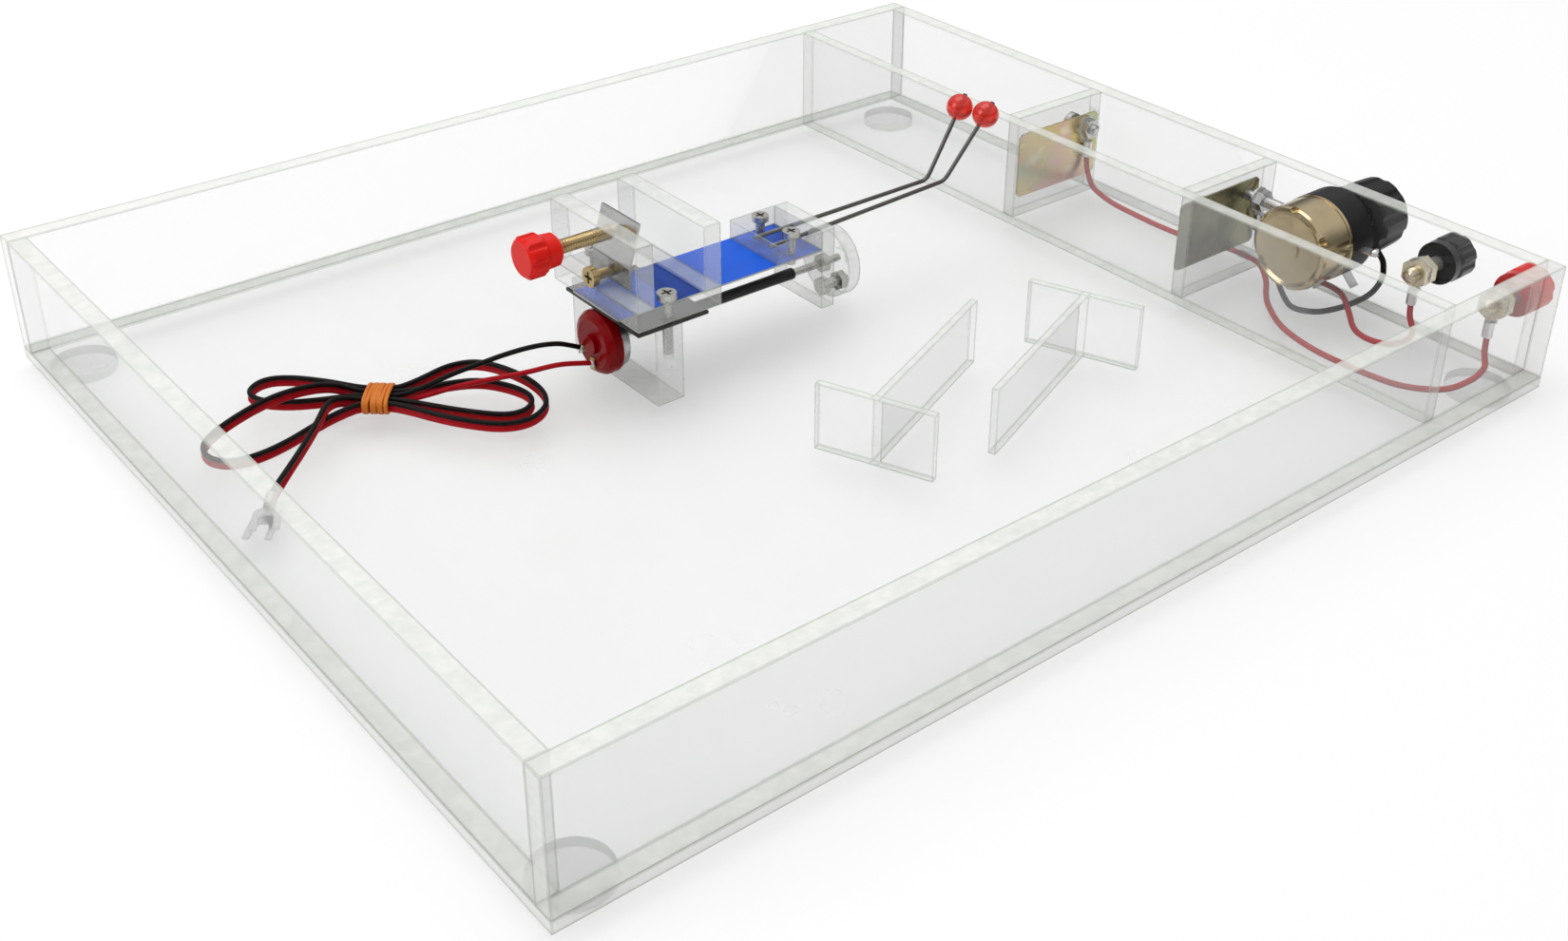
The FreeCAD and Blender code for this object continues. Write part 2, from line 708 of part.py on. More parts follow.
def make_posts():
    studs = []
    collars = []
    for side, offset in (("red", red_post_offset), ("black", black_post_offset)):
        start = (bay_right - 7.5, offset, post_level)
        nuts = [(as_length(2.1), as_length(7), as_length(2.3)), (as_length(5), as_length(7), as_length(2.5))]
        studs.append(stud_with_nut(side + "_post_stud", start, "x", stud_diameter,
                                   wall_thickness + 7.5 + cap_reach - 1, nuts))
        collar = cylinder(side + "_collar_disc", (tray_length, offset, post_level), "x",
                          cap_diameter - 0.6, collar_length)
        bore = cylinder(side + "_collar_bore", (tray_length, offset, post_level), "x",
                        stud_diameter + 0.1, collar_length)
        collars.append(cut(side + "_collar", collar, [bore]))
    node(fuse("both_post_studs", studs), "post_studs")
    node(fuse("both_post_collars", collars), "post_collars")


def make_caps():
    bore = stud_diameter / 2 + 0.05
    washer_x = tray_length + collar_length + 0.1
    cap_x = washer_x + washer_thickness + 0.1
    height = tray_length + cap_reach - cap_x
    radius = cap_diameter / 2
    for side, offset in (("black", black_post_offset), ("red", red_post_offset)):
        washer = revolved(side + "_washer", [(bore, 0), (radius - 1, 0), (radius - 1, washer_thickness),
                                             (bore, washer_thickness)])
        place(washer, (washer_x, offset, post_level), ALONG["x"])
        node(washer, side + "_cap_washer")
        cap = revolved(side + "_cap_body", [
            (bore, 0), (radius - 0.5, 0), (radius, 0.5), (radius, height - 1.2), (radius - 1.2, height),
            (0, height), (0, height - 0.6), (bore, height - 0.6)])
        flute(cap, side + "_cap", radius + 0.7, as_length(3), 8)
        place(cap, (cap_x, offset, post_level), ALONG["x"])
        node(cap, side + "_cap")


# Hookup wires in the bay
def make_bay_wires(mouths):
    low = floor_top + 1.5
    far = mouths["far"]
    near = mouths["near"]
    red = mouths["red"]
    black = mouths["black"]
    end_rise = 0.8
    battery_red = [
        (far[0], far[1], far[2] + end_rise), (far[0], far[1] - 0.3, far[2] - 3.5),
        (far[0] - 0.3, far[1] - 3.5, floor_top + 4.2), (far[0] - 0.5, far[1] - 12, low + 0.6),
        (far[0] - 0.7, far[1] - 32, low), (wire_hole_x, near_partition_back + 11, low + 0.9),
        (wire_hole_x, near_partition_back + 4, wire_hole_level),
        (wire_hole_x, near_partition_offset - 4, wire_hole_level),
        (wire_hole_x - 4, near_partition_offset - 10, low + 0.8),
        (wire_hole_x - 13, near_partition_offset - 17, low),
        (bay_left + 6, near_partition_offset - 29, low), (bay_left + 2.6, near_partition_offset - 42, low),
        (bay_left + 2.6, near_partition_offset - 56, low), (bay_left + 4.5, near_partition_offset - 69, low),
        (bay_left + 12, wall_thickness + 4.6, low), (bay_left + 22, wall_thickness + 3.2, low + 0.7),
        (red[0] - 2.5, red[1] - 2.8, low + 1.2), (red[0] - 0.2, red[1] - 0.3, low + 3.6),
        (red[0], red[1], red[2] + end_rise)]
    rheostat_red = [
        (tag_x, rheostat_offset - 0.9, rheostat_level - rheostat_diameter / 2 - 2.4),
        (tag_x + 0.3, rheostat_offset - 4.5, low + 4.8), (tag_x - 0.6, rheostat_offset - 9, low + 4.4),
        (tag_x - 4, rheostat_offset - 14, low + 2), (tag_x - 7.8, rheostat_offset - 18.5, low),
        (tag_x - 9.4, rheostat_offset - 24.5, low), (tag_x - 7, rheostat_offset - 30, low),
        (black[0] - 5.2, black[1] - 4.2, low + 0.4), (black[0] - 0.8, black[1] - 2.8, low + 1.4),
        (black[0], black[1] - 0.2, low + 4.4), (black[0], black[1], black[2] + end_rise)]
    battery_black = [
        (near[0], near[1], near[2] + end_rise), (near[0] - 0.2, near[1] - 0.3, near[2] - 3.6),
        (near[0] + 0.6, near[1] - 3.4, low + 5.4), (near[0] - 1.6, near[1] - 9.4, low + 1.6),
        (near[0] - 7.2, near[1] - 16.6, low), (near[0] - 11.6, near[1] - 23, low),
        (near[0] - 8.2, near[1] - 28.8, low), (near[0] - 1.5, near[1] - 32.8, low + 1.2),
        (near[0] + 3, near[1] - 37.6, low + 5.6), (near[0] + 3.2, near[1] - 40.2, low + 11.6),
        (near[0] + 1.6, near[1] - 40.4, low + 17.2), (tag_x, near[1] - 39.6, rheostat_level + 1)]
    reds = [routed_wire("battery_red_route", battery_red, wire_diameter),
            routed_wire("rheostat_red_route", rheostat_red, wire_diameter)]
    node(fuse("red_hookup", reds), "red_wires")
    node(routed_wire("battery_black_route", battery_black, wire_diameter), "black_wire")


# Dipper unit
screw_x = leg_left + 5.5
screw_inset = as_length(2.8)
screw_shank = as_length(2.6)


def unit_screw_lines():
    return (("near", unit_near + screw_inset), ("far", unit_near + clamp_width - screw_inset))


def make_clamp():
    slab = box("clamp_base_box", (unit_left, unit_near, base_bottom), (clamp_length, clamp_width, clamp_sheet))
    holes = []
    for side, y in unit_screw_lines():
        holes.append(cylinder(side + "_base_hole", (screw_x, y, base_bottom - 1), "z",
                              screw_shank + 0.2, clamp_sheet + 2))
    node(cut("clamp_base_cut", slab, holes), "clamp_base")
    cheek = box("near_cheek_box", (unit_left, unit_near, base_top), (clamp_sheet, clamp_width, cheek_height))
    cheek_holes = [
        cylinder("clamp_screw_hole", (unit_left - 1, unit_line, clamp_screw_level), "x",
                 clamp_screw_diameter + 0.1, clamp_sheet + 2),
        cylinder("plate_screw_hole", (unit_left - 1, unit_line, base_top + 3.2), "x",
                 as_length(3), clamp_sheet + 2)]
    node(cut("near_cheek_cut", cheek, cheek_holes), "clamp_screw_cheek")
    node(box("far_cheek_box", (unit_right - clamp_sheet, unit_near, base_top),
             (clamp_sheet, clamp_width, cheek_height)), "clamp_plain_cheek")
    leg = box("leg_box", (leg_left, unit_near, floor_top), (leg_thickness, clamp_width, leg_height))
    leg_holes = [cylinder("leg_shaft_hole", (leg_left - 1, unit_line, drive_level), "x",
                          drive_shaft_diameter + 1.2, leg_thickness + 2)]
    for side, y in unit_screw_lines():
        leg_holes.append(cylinder(side + "_leg_hole", (screw_x, y, leg_top - 10), "z",
                                  screw_shank + 0.2, as_length(11)))
    node(cut("leg_cut", leg, leg_holes), "support_leg")


def make_clamp_plate():
    length = clamp_length - 4
    width = clamp_plate_width
    holes = [((screw_x - unit_left, screw_inset), screw_shank + 0.2)]
    body = padded("clamp_plate_body", [(0, 0), (length, as_length(0)), (length, width), (0, width)],
                  clamp_plate_thickness, holes)
    place(body, (unit_left, unit_near, leg_top))
    node(body, "clamp_plate")


def cross_screw(name, spot, shank, length, head_diameter, head_height):
    """A cross-head screw pointing down, with its head standing on the spot's level."""
    head = cylinder(name + "_head", spot, "z", head_diameter, head_height)
    stem = cylinder(name + "_stem", (spot[0], spot[1], spot[2] - length), "z", shank, length + 0.1)
    arm = head_diameter * 0.6
    wide = as_length(0.7)
    deep = head_height * 0.6
    top = spot[2] + head_height - deep
    slots = [box(name + "_slot_x", (spot[0] - arm / 2, spot[1] - wide / 2, top), (arm, wide, deep + 1)),
             box(name + "_slot_y", (spot[0] - wide / 2, spot[1] - arm / 2, top), (wide, arm, deep + 1))]
    return cut(name, fuse(name + "_plain", [head, stem]), slots)


def make_base_screws():
    screws = []
    for side, y in unit_screw_lines():
        screws.append(cross_screw(side + "_base_screw", (screw_x, y, base_top), screw_shank,
                                  clamp_sheet + 10, as_length(5), as_length(1.8)))
    node(fuse("both_base_screws", screws), "base_screws")


block_screw_spots = ((6.2, 5.1), (6.7, -7.4))


def make_leaf():
    half = leaf_width / 2
    holes = [((block_left - unit_left + x, as_length(y)), as_length(2.7)) for x, y in block_screw_spots]
    body = padded("leaf_body", [(0, -half), (leaf_length, -half), (leaf_length, half), (0, half)],
                  leaf_thickness, holes)
    place(body, (unit_left, unit_line, plate_top))
    node(body, "leaf_spring")


# Pressure plate and clamp screw
hinge_x = unit_left + clamp_sheet + 0.45
hinge_level = base_top + 6.7
arm_lean = 16.2
pressure_width = as_length(16)


def make_pressure_plate():
    thickness = as_length(0.7)
    reach = as_length(11.4)
    inner_face = unit_left + clamp_sheet
    foot = box("pressure_foot_box", (inner_face, unit_line - pressure_width / 2, base_top + 0.6),
               (thickness, pressure_width, as_length(5.6)))
    hole = cylinder("pressure_foot_hole", (inner_face - 1, unit_line, base_top + 3.2), "x",
                    as_length(3), thickness + 2)
    node(cut("pressure_foot", foot, [hole]), "pressure_plate_foot")
    half = pressure_width / 2
    half_thickness = thickness / 2
    arm = padded("pressure_arm_body", [
        (-half_thickness, 0), (-half_thickness / 2, -half_thickness * 0.8),
        (half_thickness / 2, -half_thickness * 0.8),
        (half_thickness, 0), (half_thickness, reach), (-half_thickness, reach)], pressure_width)
    place(arm, (hinge_x, unit_line + half, hinge_level),
          Rotation(Vector(0, 1, 0), arm_lean).multiply(ALONG["-y"]))
    node(arm, "pressure_arm")
    level = base_top + 3.2
    nut_face = inner_face + thickness
    head_height = as_length(1.7)
    head_left = unit_left - head_height
    head = cylinder("plate_screw_head", (head_left, unit_line, level), "x", as_length(5.4), head_height)
    stem = cylinder("plate_screw_stem", (head_left, unit_line, level), "x", as_length(2.8),
                    nut_face + 2.4 - head_left)
    nut = hexagon("plate_screw_nut", (nut_face, unit_line, level), "x", as_length(4.8), as_length(1.8))
    slots = [box("plate_screw_slot_y", (head_left - 1, unit_line - 1.6, level - 0.35),
                 (as_length(2), as_length(3.2), as_length(0.7))),
             box("plate_screw_slot_z", (head_left - 1, unit_line - 0.35, level - 1.6),
                 (as_length(2), as_length(0.7), as_length(3.2)))]
    node(cut("plate_screw", fuse("plate_screw_plain", [head, stem, nut]), slots), "pressure_plate_screw")


def make_clamp_screw():
    radius = clamp_screw_diameter / 2
    knob_x = unit_left - 20
    tip_end = unit_left + clamp_sheet + 1.3
    tip_length = as_length(1.1)
    nose = as_length(1)
    screw_end = tip_end - tip_length - 0.05
    length = screw_end - knob_x - 1
    screw = revolved("clamp_screw_body", [(0, 0), (radius - 0.3, 0), (radius, 0.3), (radius, length - 0.4),
                                          (radius - 0.4, length), (nose, length), (nose, length + 0.6),
                                          (0, length + 0.6)])
    place(screw, (knob_x + 1, unit_line, clamp_screw_level), ALONG["x"])
    node(screw, "clamp_screw")
    tip = revolved("clamp_tip_body", [(nose + 0.05, 0), (1.5, 0), (1.5, tip_length), (0, tip_length),
                                      (0, 0.6), (nose + 0.05, 0.6)])
    place(tip, (tip_end - tip_length, unit_line, clamp_screw_level), ALONG["x"])
    node(tip, "clamp_tip")
    outer = clamp_knob_diameter / 2
    bore = radius + 0.02
    head_length = as_length(5.4)
    skirt = as_length(4.2)
    skirt_end = as_length(9.8)
    knob = revolved("clamp_knob_body", [
        (0, 0), (outer - 1, 0), (outer, 1), (outer, head_length - 0.8), (skirt + 0.2, head_length + 0.4),
        (skirt, skirt_end - 0.8), (skirt - 0.8, skirt_end), (bore, skirt_end), (bore, 1), (0, 1)])
    flute(knob, "clamp_knob", outer + 0.5, as_length(2.4), 8)
    place(knob, (knob_x, unit_line, clamp_screw_level), ALONG["x"])
    node(knob, "clamp_knob")


# Motor, coupling and eccentric
def make_motor():
    can_radius = motor_diameter / 2 - 0.5
    can = revolved("motor_can_body", [
        (1.4, 0), (can_radius, 0), (can_radius, motor_can_length - 1.4),
        (can_radius - 0.5, motor_can_length - 1.4), (can_radius - 0.5, motor_can_length),
        (1.4, motor_can_length)])
    place(can, (leg_left - motor_can_length, unit_line, drive_level), ALONG["x"])
    node(can, "motor_can")
    boss = as_length(2.6)
    cap_radius = motor_diameter / 2
    cap = revolved("motor_cap_body", [
        (0, 0), (boss, 0), (boss, 1), (cap_radius - 2, 1), (cap_radius - 0.7, 1.5), (cap_radius, 2.6),
        (cap_radius, motor_cap_length), (1.4, motor_cap_length), (1.4, 2), (0, 2)])
    place(cap, (motor_end, unit_line, drive_level), ALONG["x"])
    node(cap, "motor_cap")


def make_drive():
    shaft_radius = drive_shaft_diameter / 2
    collar_radius = as_length(2.5)
    motor_start = leg_left - motor_can_length - 1.5
    collar_start = leg_right + 1 - motor_start
    collar_end = collar_start + 8
    tube_start = motor_start + collar_end
    shaft_end = collar_end + 7
    shaft = revolved("motor_shaft_body", [
        (0, 0), (shaft_radius, 0), (shaft_radius, collar_start), (collar_radius, collar_start),
        (collar_radius, collar_end), (shaft_radius, collar_end), (shaft_radius, shaft_end), (0, shaft_end)])
    place(shaft, (motor_start, unit_line, drive_level), ALONG["x"])
    node(shaft, "motor_shaft")
    stub_start = bearing_left - 8.3
    tube_length = bearing_left - 2 - tube_start
    bore = shaft_radius + 0.02
    outer = coupling_diameter / 2
    tube = revolved("coupling_body", [(bore, 0), (outer, 0), (outer, tube_length), (bore, tube_length)])
    place(tube, (tube_start, unit_line, drive_level), ALONG["x"])
    node(tube, "coupling_tube")
    hub_start = disc_left - 2 - stub_start
    hub_end = disc_left - stub_start
    stub_end = disc_right + 0.6 - stub_start
    stub = revolved("stub_shaft_body", [
        (0, 0), (shaft_radius, 0), (shaft_radius, hub_start), (collar_radius, hub_start),
        (collar_radius, hub_end), (shaft_radius, hub_end), (shaft_radius, stub_end), (0, stub_end)])
    place(stub, (stub_start, unit_line, drive_level), ALONG["x"])
    node(stub, "stub_shaft")


def make_eccentric():
    plain = revolved("disc_body", [(drive_shaft_diameter / 2 + 0.02, 0), (disc_radius, 0),
                                   (disc_radius, disc_thickness),
                                   (drive_shaft_diameter / 2 + 0.02, disc_thickness)])
    place(plain, (disc_left, unit_line, drive_level), ALONG["x"])
    bolt_diameter = as_length(3)
    bolt_level = drive_level - bolt_throw
    hole = cylinder("disc_bolt_hole", (disc_left - 1, unit_line, bolt_level), "x",
                    bolt_diameter + 0.1, disc_thickness + 2)
    slot = box("disc_slot", (disc_left - 1, unit_line - 8, drive_level + 2.6),
               (disc_thickness + 2, as_length(4), as_length(3.2)))
    node(cut("disc_cut", plain, [hole, slot]), "eccentric_disc")
    head_height = as_length(2)
    bolt_start = (disc_left - head_height, unit_line, bolt_level)
    bolt = stud_with_nut("eccentric_bolt", bolt_start, "x", bolt_diameter, disc_thickness + head_height + 3.2,
                         [(head_height + disc_thickness, as_length(4.9), as_length(2.2))],
                         (as_length(5), head_height))
    node(bolt, "eccentric_bolt_and_nut")


# Leaf end: rod block, bearing plate, rods and beads
rod_level = leaf_top + 2.4
rod_bend_radius = 3.5


def rod_routes():
    """Each dipper rod from inside the block, level to its bend, then up to the bead's far side."""
    span = divider_offset - block_left
    start = block_left + 2
    return {
        "far": [(start, unit_line + 2.3, rod_level), (block_left + span * 0.638, unit_line + 2.7, rod_level),
                (block_left + span * 0.758, unit_line + 3.2, rod_level + 18.8)],
        "near": [(start, unit_line - 4.5, rod_level), (block_left + span * 0.674, unit_line - 0.8, rod_level),
                 (block_left + span * 0.792, unit_line - 3.8, rod_level + 18)],
    }


def make_block():
    slab = box("block_box", (block_left, unit_line - leaf_width / 2, leaf_top),
               (block_length, leaf_width, block_height))
    holes = []
    for index, (x, y) in enumerate(block_screw_spots):
        holes.append(cylinder("block_hole_%d" % index, (block_left + x, unit_line + y, leaf_top - 1), "z",
                              as_length(2.7), block_height + 2))
    for side, route in rod_routes().items():
        holes.append(rod_hole(side + "_block_bore", route, block_length + 3))
    node(cut("block_cut", slab, holes), "rod_block")
    screws = []
    for index, (x, y) in enumerate(block_screw_spots):
        spot = (block_left + x, unit_line + y, leaf_top + block_height)
        screws.append(cross_screw("block_screw_%d" % index, spot, as_length(2.5), block_height + 2.5,
                                  as_length(4.6), as_length(1.6)))
    node(fuse("both_block_screws", screws), "block_screws")


def rod_hole(name, route, reach):
    """A bore that follows a rod's first run."""
    start, bend = numbers(route[:2])
    heading = (bend - start).normalize()
    item = doc.addObject("Part::Cylinder", name)
    bind(item, "Radius", rod_diameter / 2 + 0.06)
    bind(item, "Height", reach)
    return place(item, route[0], Rotation(Vector(0, 0, 1), heading))


def make_bearing_plate():
    half = leaf_width / 2
    top = leaf_top + block_height
    slab = box("bearing_box", (bearing_left, unit_line - half, top - bearing_height),
               (bearing_thickness, leaf_width, bearing_height))
    holes = [cylinder("bearing_bore", (bearing_left - 1, unit_line, drive_level), "x",
                      drive_shaft_diameter + 0.1, bearing_thickness + 2)]
    for side, route in rod_routes().items():
        holes.append(rod_hole(side + "_bearing_bore", route, block_length + bearing_thickness + 3))
    node(cut("bearing_cut", slab, holes), "bearing_plate")


def make_rods_and_beads():
    rods = []
    beads = []
    for side, route in rod_routes().items():
        start, bend, end = numbers(route)
        first = (bend - start).normalize()
        second = (end - bend).normalize()
        half_turn = first.getAngle(second) / 2
        reach = rod_bend_radius * math.tan(half_turn)
        bend_in = bend - first * reach
        bend_out = bend + second * reach
        inward = (second - first).normalize()
        middle = bend + inward * (rod_bend_radius / math.cos(half_turn) - rod_bend_radius)
        tip = end + second * (bead_diameter.value / 2 + 0.3)
        edges = [Part.LineSegment(start, bend_in).toShape(), Part.Arc(bend_in, middle, bend_out).toShape(),
                 Part.LineSegment(bend_out, tip).toShape()]
        shape = sweep(edges, rod_diameter.value)
        report_tube(side + "_rod", shape, edges, rod_diameter.value, rod_bend_radius)
        rods.append(solid_feature(side + "_rod", shape))
        ball = doc.addObject("Part::Sphere", side + "_ball")
        bind(ball, "Radius", bead_diameter / 2)
        place(ball, route[2], Rotation(Vector(0, 1, 0), second))
        bore = doc.addObject("Part::Cylinder", side + "_ball_bore")
        bind(bore, "Radius", rod_diameter / 2 + 0.02)
        bind(bore, "Height", bead_diameter * 2)
        start_spot = [value - shift * bead_diameter for value, shift in zip(route[2], second)]
        place(bore, start_spot, Rotation(Vector(0, 0, 1), second))
        beads.append(cut(side + "_bead", ball, [bore]))
    node(fuse("both_rods", rods), "dipper_rods")
    node(fuse("both_beads", beads), "dipper_beads")


# Motor lead: red under black, coiled in a hank that a band holds at its waist
hank_centre = (57.6, 170.0)
hank_turn = math.radians(-40)
red_level = floor_top + 2
pair_step = 1.75


def lead_spot(along, across, rise):
    """A point of the hank's own frame, with its waist at the band, as a place in the tray."""
    x = hank_centre[0] + along * math.cos(hank_turn) - across * math.sin(hank_turn)
    y = hank_centre[1] + along * math.sin(hank_turn) + across * math.cos(hank_turn)
    return (x, y, red_level + rise)


hank_route = [
    (3, 0, 0), (1.5, 0, 0), (-1.5, 0, 0), (-4.5, 0, 0), (-8.5, -0.9, 0), (-14, -2.7, 0), (-21, -4.1, 0),
    (-28.3, -3.5, 0), (-32.8, 0.4, 0), (-30.6, 6.8, 0), (-24, 8.3, 0), (-14, 6.5, 0), (-8, 4.5, 0),
    (-4, 3.6, 0), (0, 3.6, 0), (4, 3.7, 0), (9, 7.4, 0.6), (14.6, 13, 1.4), (21.5, 14.6, 2), (28.5, 11.9, 2),
    (36, 6.4, 2), (41, 0.5, 1.5), (42.3, -5.4, 1), (39.4, -10.8, 0.5), (33, -12.7, 0), (25, -11.5, 0),
    (17, -9, 0), (9.5, -5.6, 0), (4.5, -3.75, 0), (0, -3.6, 0), (-4, -3.75, -0.2), (-9.2, -7.6, -1),
    (-13.3, -13.2, -1.2), (-17, -19.6, -1.2), (-21.8, -26, -1), (-27, -30.2, -0.6), (-32.6, -30, -0.3),
    (-36, -25.8, 0), (-35.4, -20.4, 0.5), (-31, -14.2, 1.9), (-24.5, -8.2, 3.6), (-17.5, -3.4, 4),
    (-12, 0.4, 2.9), (-7.5, 1.9, 0.8), (-4, 1.8, 0), (0, 1.8, 0), (4, 1.9, 0), (10, 3.8, 0), (17, 6.2, 0.5),
    (24, 6.8, 1), (31, 4.6, 1), (36.4, 1.2, 1), (38.6, -2.8, 1), (37.6, -6.4, 0.5), (33.4, -8.2, 0),
    (26.5, -7.5, 0), (18, -5.5, 0), (10, -3.1, 0), (4.5, -1.8, 0), (1.5, -1.8, 0), (-1.5, -1.8, 0),
    (-3, -1.8, 0)]


def make_hank(colour, rise):
    points = numbers([lead_spot(along, across, up + rise) for along, across, up in hank_route])
    fine, headings = spline_through(points, len(points) * 2)
    edges = biarcs(fine, headings)
    diameter = lead_diameter.value
    shape = sweep(edges, diameter)
    least = min(edge.Curve.Radius for edge in edges if isinstance(edge.Curve, Part.Circle))
    report_tube("lead_hank_" + colour, shape, edges, diameter, least)
    print("lead_hank_%s: least gap %.2f" % (colour, least_gap(fine, diameter)))
    node(solid_feature(colour + "_hank_tube", shape), "lead_hank_" + colour)
    return fine


def make_band():
    """A flat elastic band round the waist of the hank."""
    length = as_length(7.6)
    inner_half = as_length(4.6)
    inner_height = lead_diameter + pair_step + 0.5
    wall = as_length(0.6)
    turn = Rotation(Vector(0, 0, 1), math.degrees(hank_turn))
    outer_corner = lead_spot(-length.value / 2, -(inner_half + wall).value, 0)
    inner_corner = lead_spot(-length.value / 2 - 1, -inner_half.value, 0)
    bottom = red_level - lead_diameter / 2 - 0.25
    outer = box("band_outer", (as_length(outer_corner[0]), as_length(outer_corner[1]), bottom - wall),
                (length, (inner_half + wall) * 2, inner_height + wall * 2), turn)
    inner = box("band_inner", (as_length(inner_corner[0]), as_length(inner_corner[1]), bottom),
                (length + 2, inner_half * 2, inner_height), turn)
    node(cut("band_loop", outer, [inner]), "lead_band")


lug_heading = (-0.65, -0.76)
lug_spot = (17.8, 145.2)


def make_lead_ends():
    cap_face = motor_end + 0.95
    red_up = [(82.6, 152.2, red_level + 6.1), (88.2, 148.8, red_level + 7.2), (94.4, 146.9, red_level + 7.8),
              (99.6, 146.6, red_level + 6.6)]
    red_tab = (cap_face, unit_line - 0.5, drive_level - 5.2)
    black_level = red_level + pair_step
    black_up = [(84.6, 154.2, black_level + 9.2), (91.5, 151.5, black_level + 10.4),
                (98, 151.4, black_level + 9), (101.6, 151.4, black_level + 7.2)]
    black_tab = (cap_face, unit_line + 4.4, drive_level - 3)
    motor_red = [lead_spot(3, 0, 0), lead_spot(6.6, 0, 0.3), lead_spot(12.5, 0.5, 1.9),
                 lead_spot(19.3, 1, 4.1), lead_spot(26, 1.9, 5.4)] + red_up + [red_tab]
    rise = pair_step
    motor_black = [lead_spot(3, 0, rise), lead_spot(6.6, 0, rise + 0.4), lead_spot(12, 0.8, rise + 2.4),
                   lead_spot(18, 2, rise + 5.2), lead_spot(24.5, 3, rise + 7.5)] + black_up + [black_tab]
    node(routed_wire("motor_red_route", motor_red, lead_diameter), "motor_wire_red")
    node(routed_wire("motor_black_route", motor_black, lead_diameter), "motor_wire_black")
    for colour, up, last_level in (("red", 0, floor_top + 1.3), ("black", rise, floor_top + 3.7)):
        tail = [lead_spot(-3, -1.8, up), lead_spot(-6.4, -2, up + 0.3), lead_spot(-9.4, -5, up + 1.8),
                lead_spot(-10.5, -9.6, up + 2.8), lead_spot(-10.4, -17, up + 2.9),
                lead_spot(-11.4, -26, up + 2), lead_spot(-13, -34, up + 0.8)]
        tail.append((lug_spot[0] - 2.6 * lug_heading[0], lug_spot[1] - 2.6 * lug_heading[1], last_level))
        tail.append((lug_spot[0] + 0.1 * lug_heading[0], lug_spot[1] + 0.1 * lug_heading[1], last_level))
        node(routed_wire(colour + "_tail_route", tail, lead_diameter), "lead_tail_" + colour)


def make_spade_lugs():
    """Two crimped forks, one above the other, turned a little apart."""
    barrel_length = as_length(4.5)
    thickness = as_length(0.6)
    fork = [(barrel_length - 0.5, -1), (barrel_length + 1.5, -3.2), (13, -3.2), (13, -1.7),
            (barrel_length + 4, -1.7), (barrel_length + 2.6, -0.8), (barrel_length + 2.6, 0.8),
            (barrel_length + 4, 1.7), (13, 1.7), (13, 3.2),
            (barrel_length + 1.5, 3.2), (barrel_length - 0.5, 1)]
    base_turn = math.degrees(math.atan2(lug_heading[1], lug_heading[0]))
    lugs = []
    for colour, level, turn in (("red", floor_top + 1.3, 0), ("black", floor_top + 3.7, 9)):
        rotation = Rotation(Vector(0, 0, 1), base_turn + turn)
        spot = (as_length(lug_spot[0]), as_length(lug_spot[1]), level)
        barrel = doc.addObject("Part::Cylinder", colour + "_lug_barrel")
        bind(barrel, "Radius", as_length(1.15))
        bind(barrel, "Height", barrel_length)
        place(barrel, spot, rotation.multiply(ALONG["x"]))
        bore = doc.addObject("Part::Cylinder", colour + "_lug_bore")
        bind(bore, "Radius", lead_diameter / 2 + 0.05)
        bind(bore, "Height", as_length(3.5))
        place(bore, spot, rotation.multiply(ALONG["x"]))
        blade = padded(colour + "_lug_fork", fork, thickness)
        place(blade, (spot[0], spot[1], level - 0.9), rotation)
        lugs.append(cut(colour + "_lug", fuse(colour + "_lug_plain", [barrel, blade]), [bore]))
    node(fuse("both_spade_lugs", lugs), "spade_lugs")


# Barriers
def make_barriers():
    """Two T-shaped barriers that stand on the floor: a blade with a foot plate across one end."""
    half_foot = barrier_foot_length / 2
    half = barrier_thickness / 2
    spots = {"left": (divider_offset * 0.536, as_length(75.4), 22.9, 1),
             "right": (divider_offset * 0.8375, as_length(82.1), 21.8, -1)}
    for side, (x, y, angle, way) in spots.items():
        blade_end = (barrier_length + half) * way
        inner = half * way
        outline = [(-inner, -half_foot), (inner, -half_foot), (inner, -half), (blade_end, -half),
                   (blade_end, half), (inner, half), (inner, half_foot), (-inner, half_foot)]
        body = padded(side + "_barrier_body", outline, barrier_height)
        place(body, (x, y, floor_top), Rotation(Vector(0, 0, 1), angle))
        node(body, side + "_barrier")


def check_and_write():
    doc.recompute()
    for item in doc.Objects:
        if "Invalid" in item.State or "Error" in item.State:
            raise RuntimeError("%s did not rebuild: %s" % (item.Name, item.State))
    os.makedirs("parts", exist_ok=True)
    bounds = FreeCAD.BoundBox()
    for item in nodes:
        shape = item.Shape
        if shape.isNull() or not shape.isValid() or shape.Volume < 0.01:
            raise RuntimeError("%s has no sound shape" % item.Label)
        bounds.add(shape.BoundBox)
        shape.exportStep("parts/%s.step" % item.Label)
    print("%d sub-parts, %s" % (len(nodes), bounds))


make_tray()
make_feet()
make_partitions()
make_contact_plates()
make_contact_spring()
make_contact_bolts()
lug_mouths = make_terminals()
knob_bore_depth = make_rheostat()
make_rheostat_knob(knob_bore_depth)
make_posts()
make_caps()
make_bay_wires(lug_mouths)
make_clamp()
make_clamp_plate()
make_base_screws()
make_leaf()
make_pressure_plate()
make_clamp_screw()
make_motor()
make_drive()
make_eccentric()
make_block()
make_bearing_plate()
make_rods_and_beads()
make_hank("red", 0)
make_hank("black", pair_step)
make_band()
make_lead_ends()
make_spade_lugs()
make_barriers()
check_and_write()
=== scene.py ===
"""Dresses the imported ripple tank: camera, light, motor lead, small fittings and finishes, in metres."""
import bpy
import bmesh
import json
import math

from mathutils import Matrix, Vector, noise


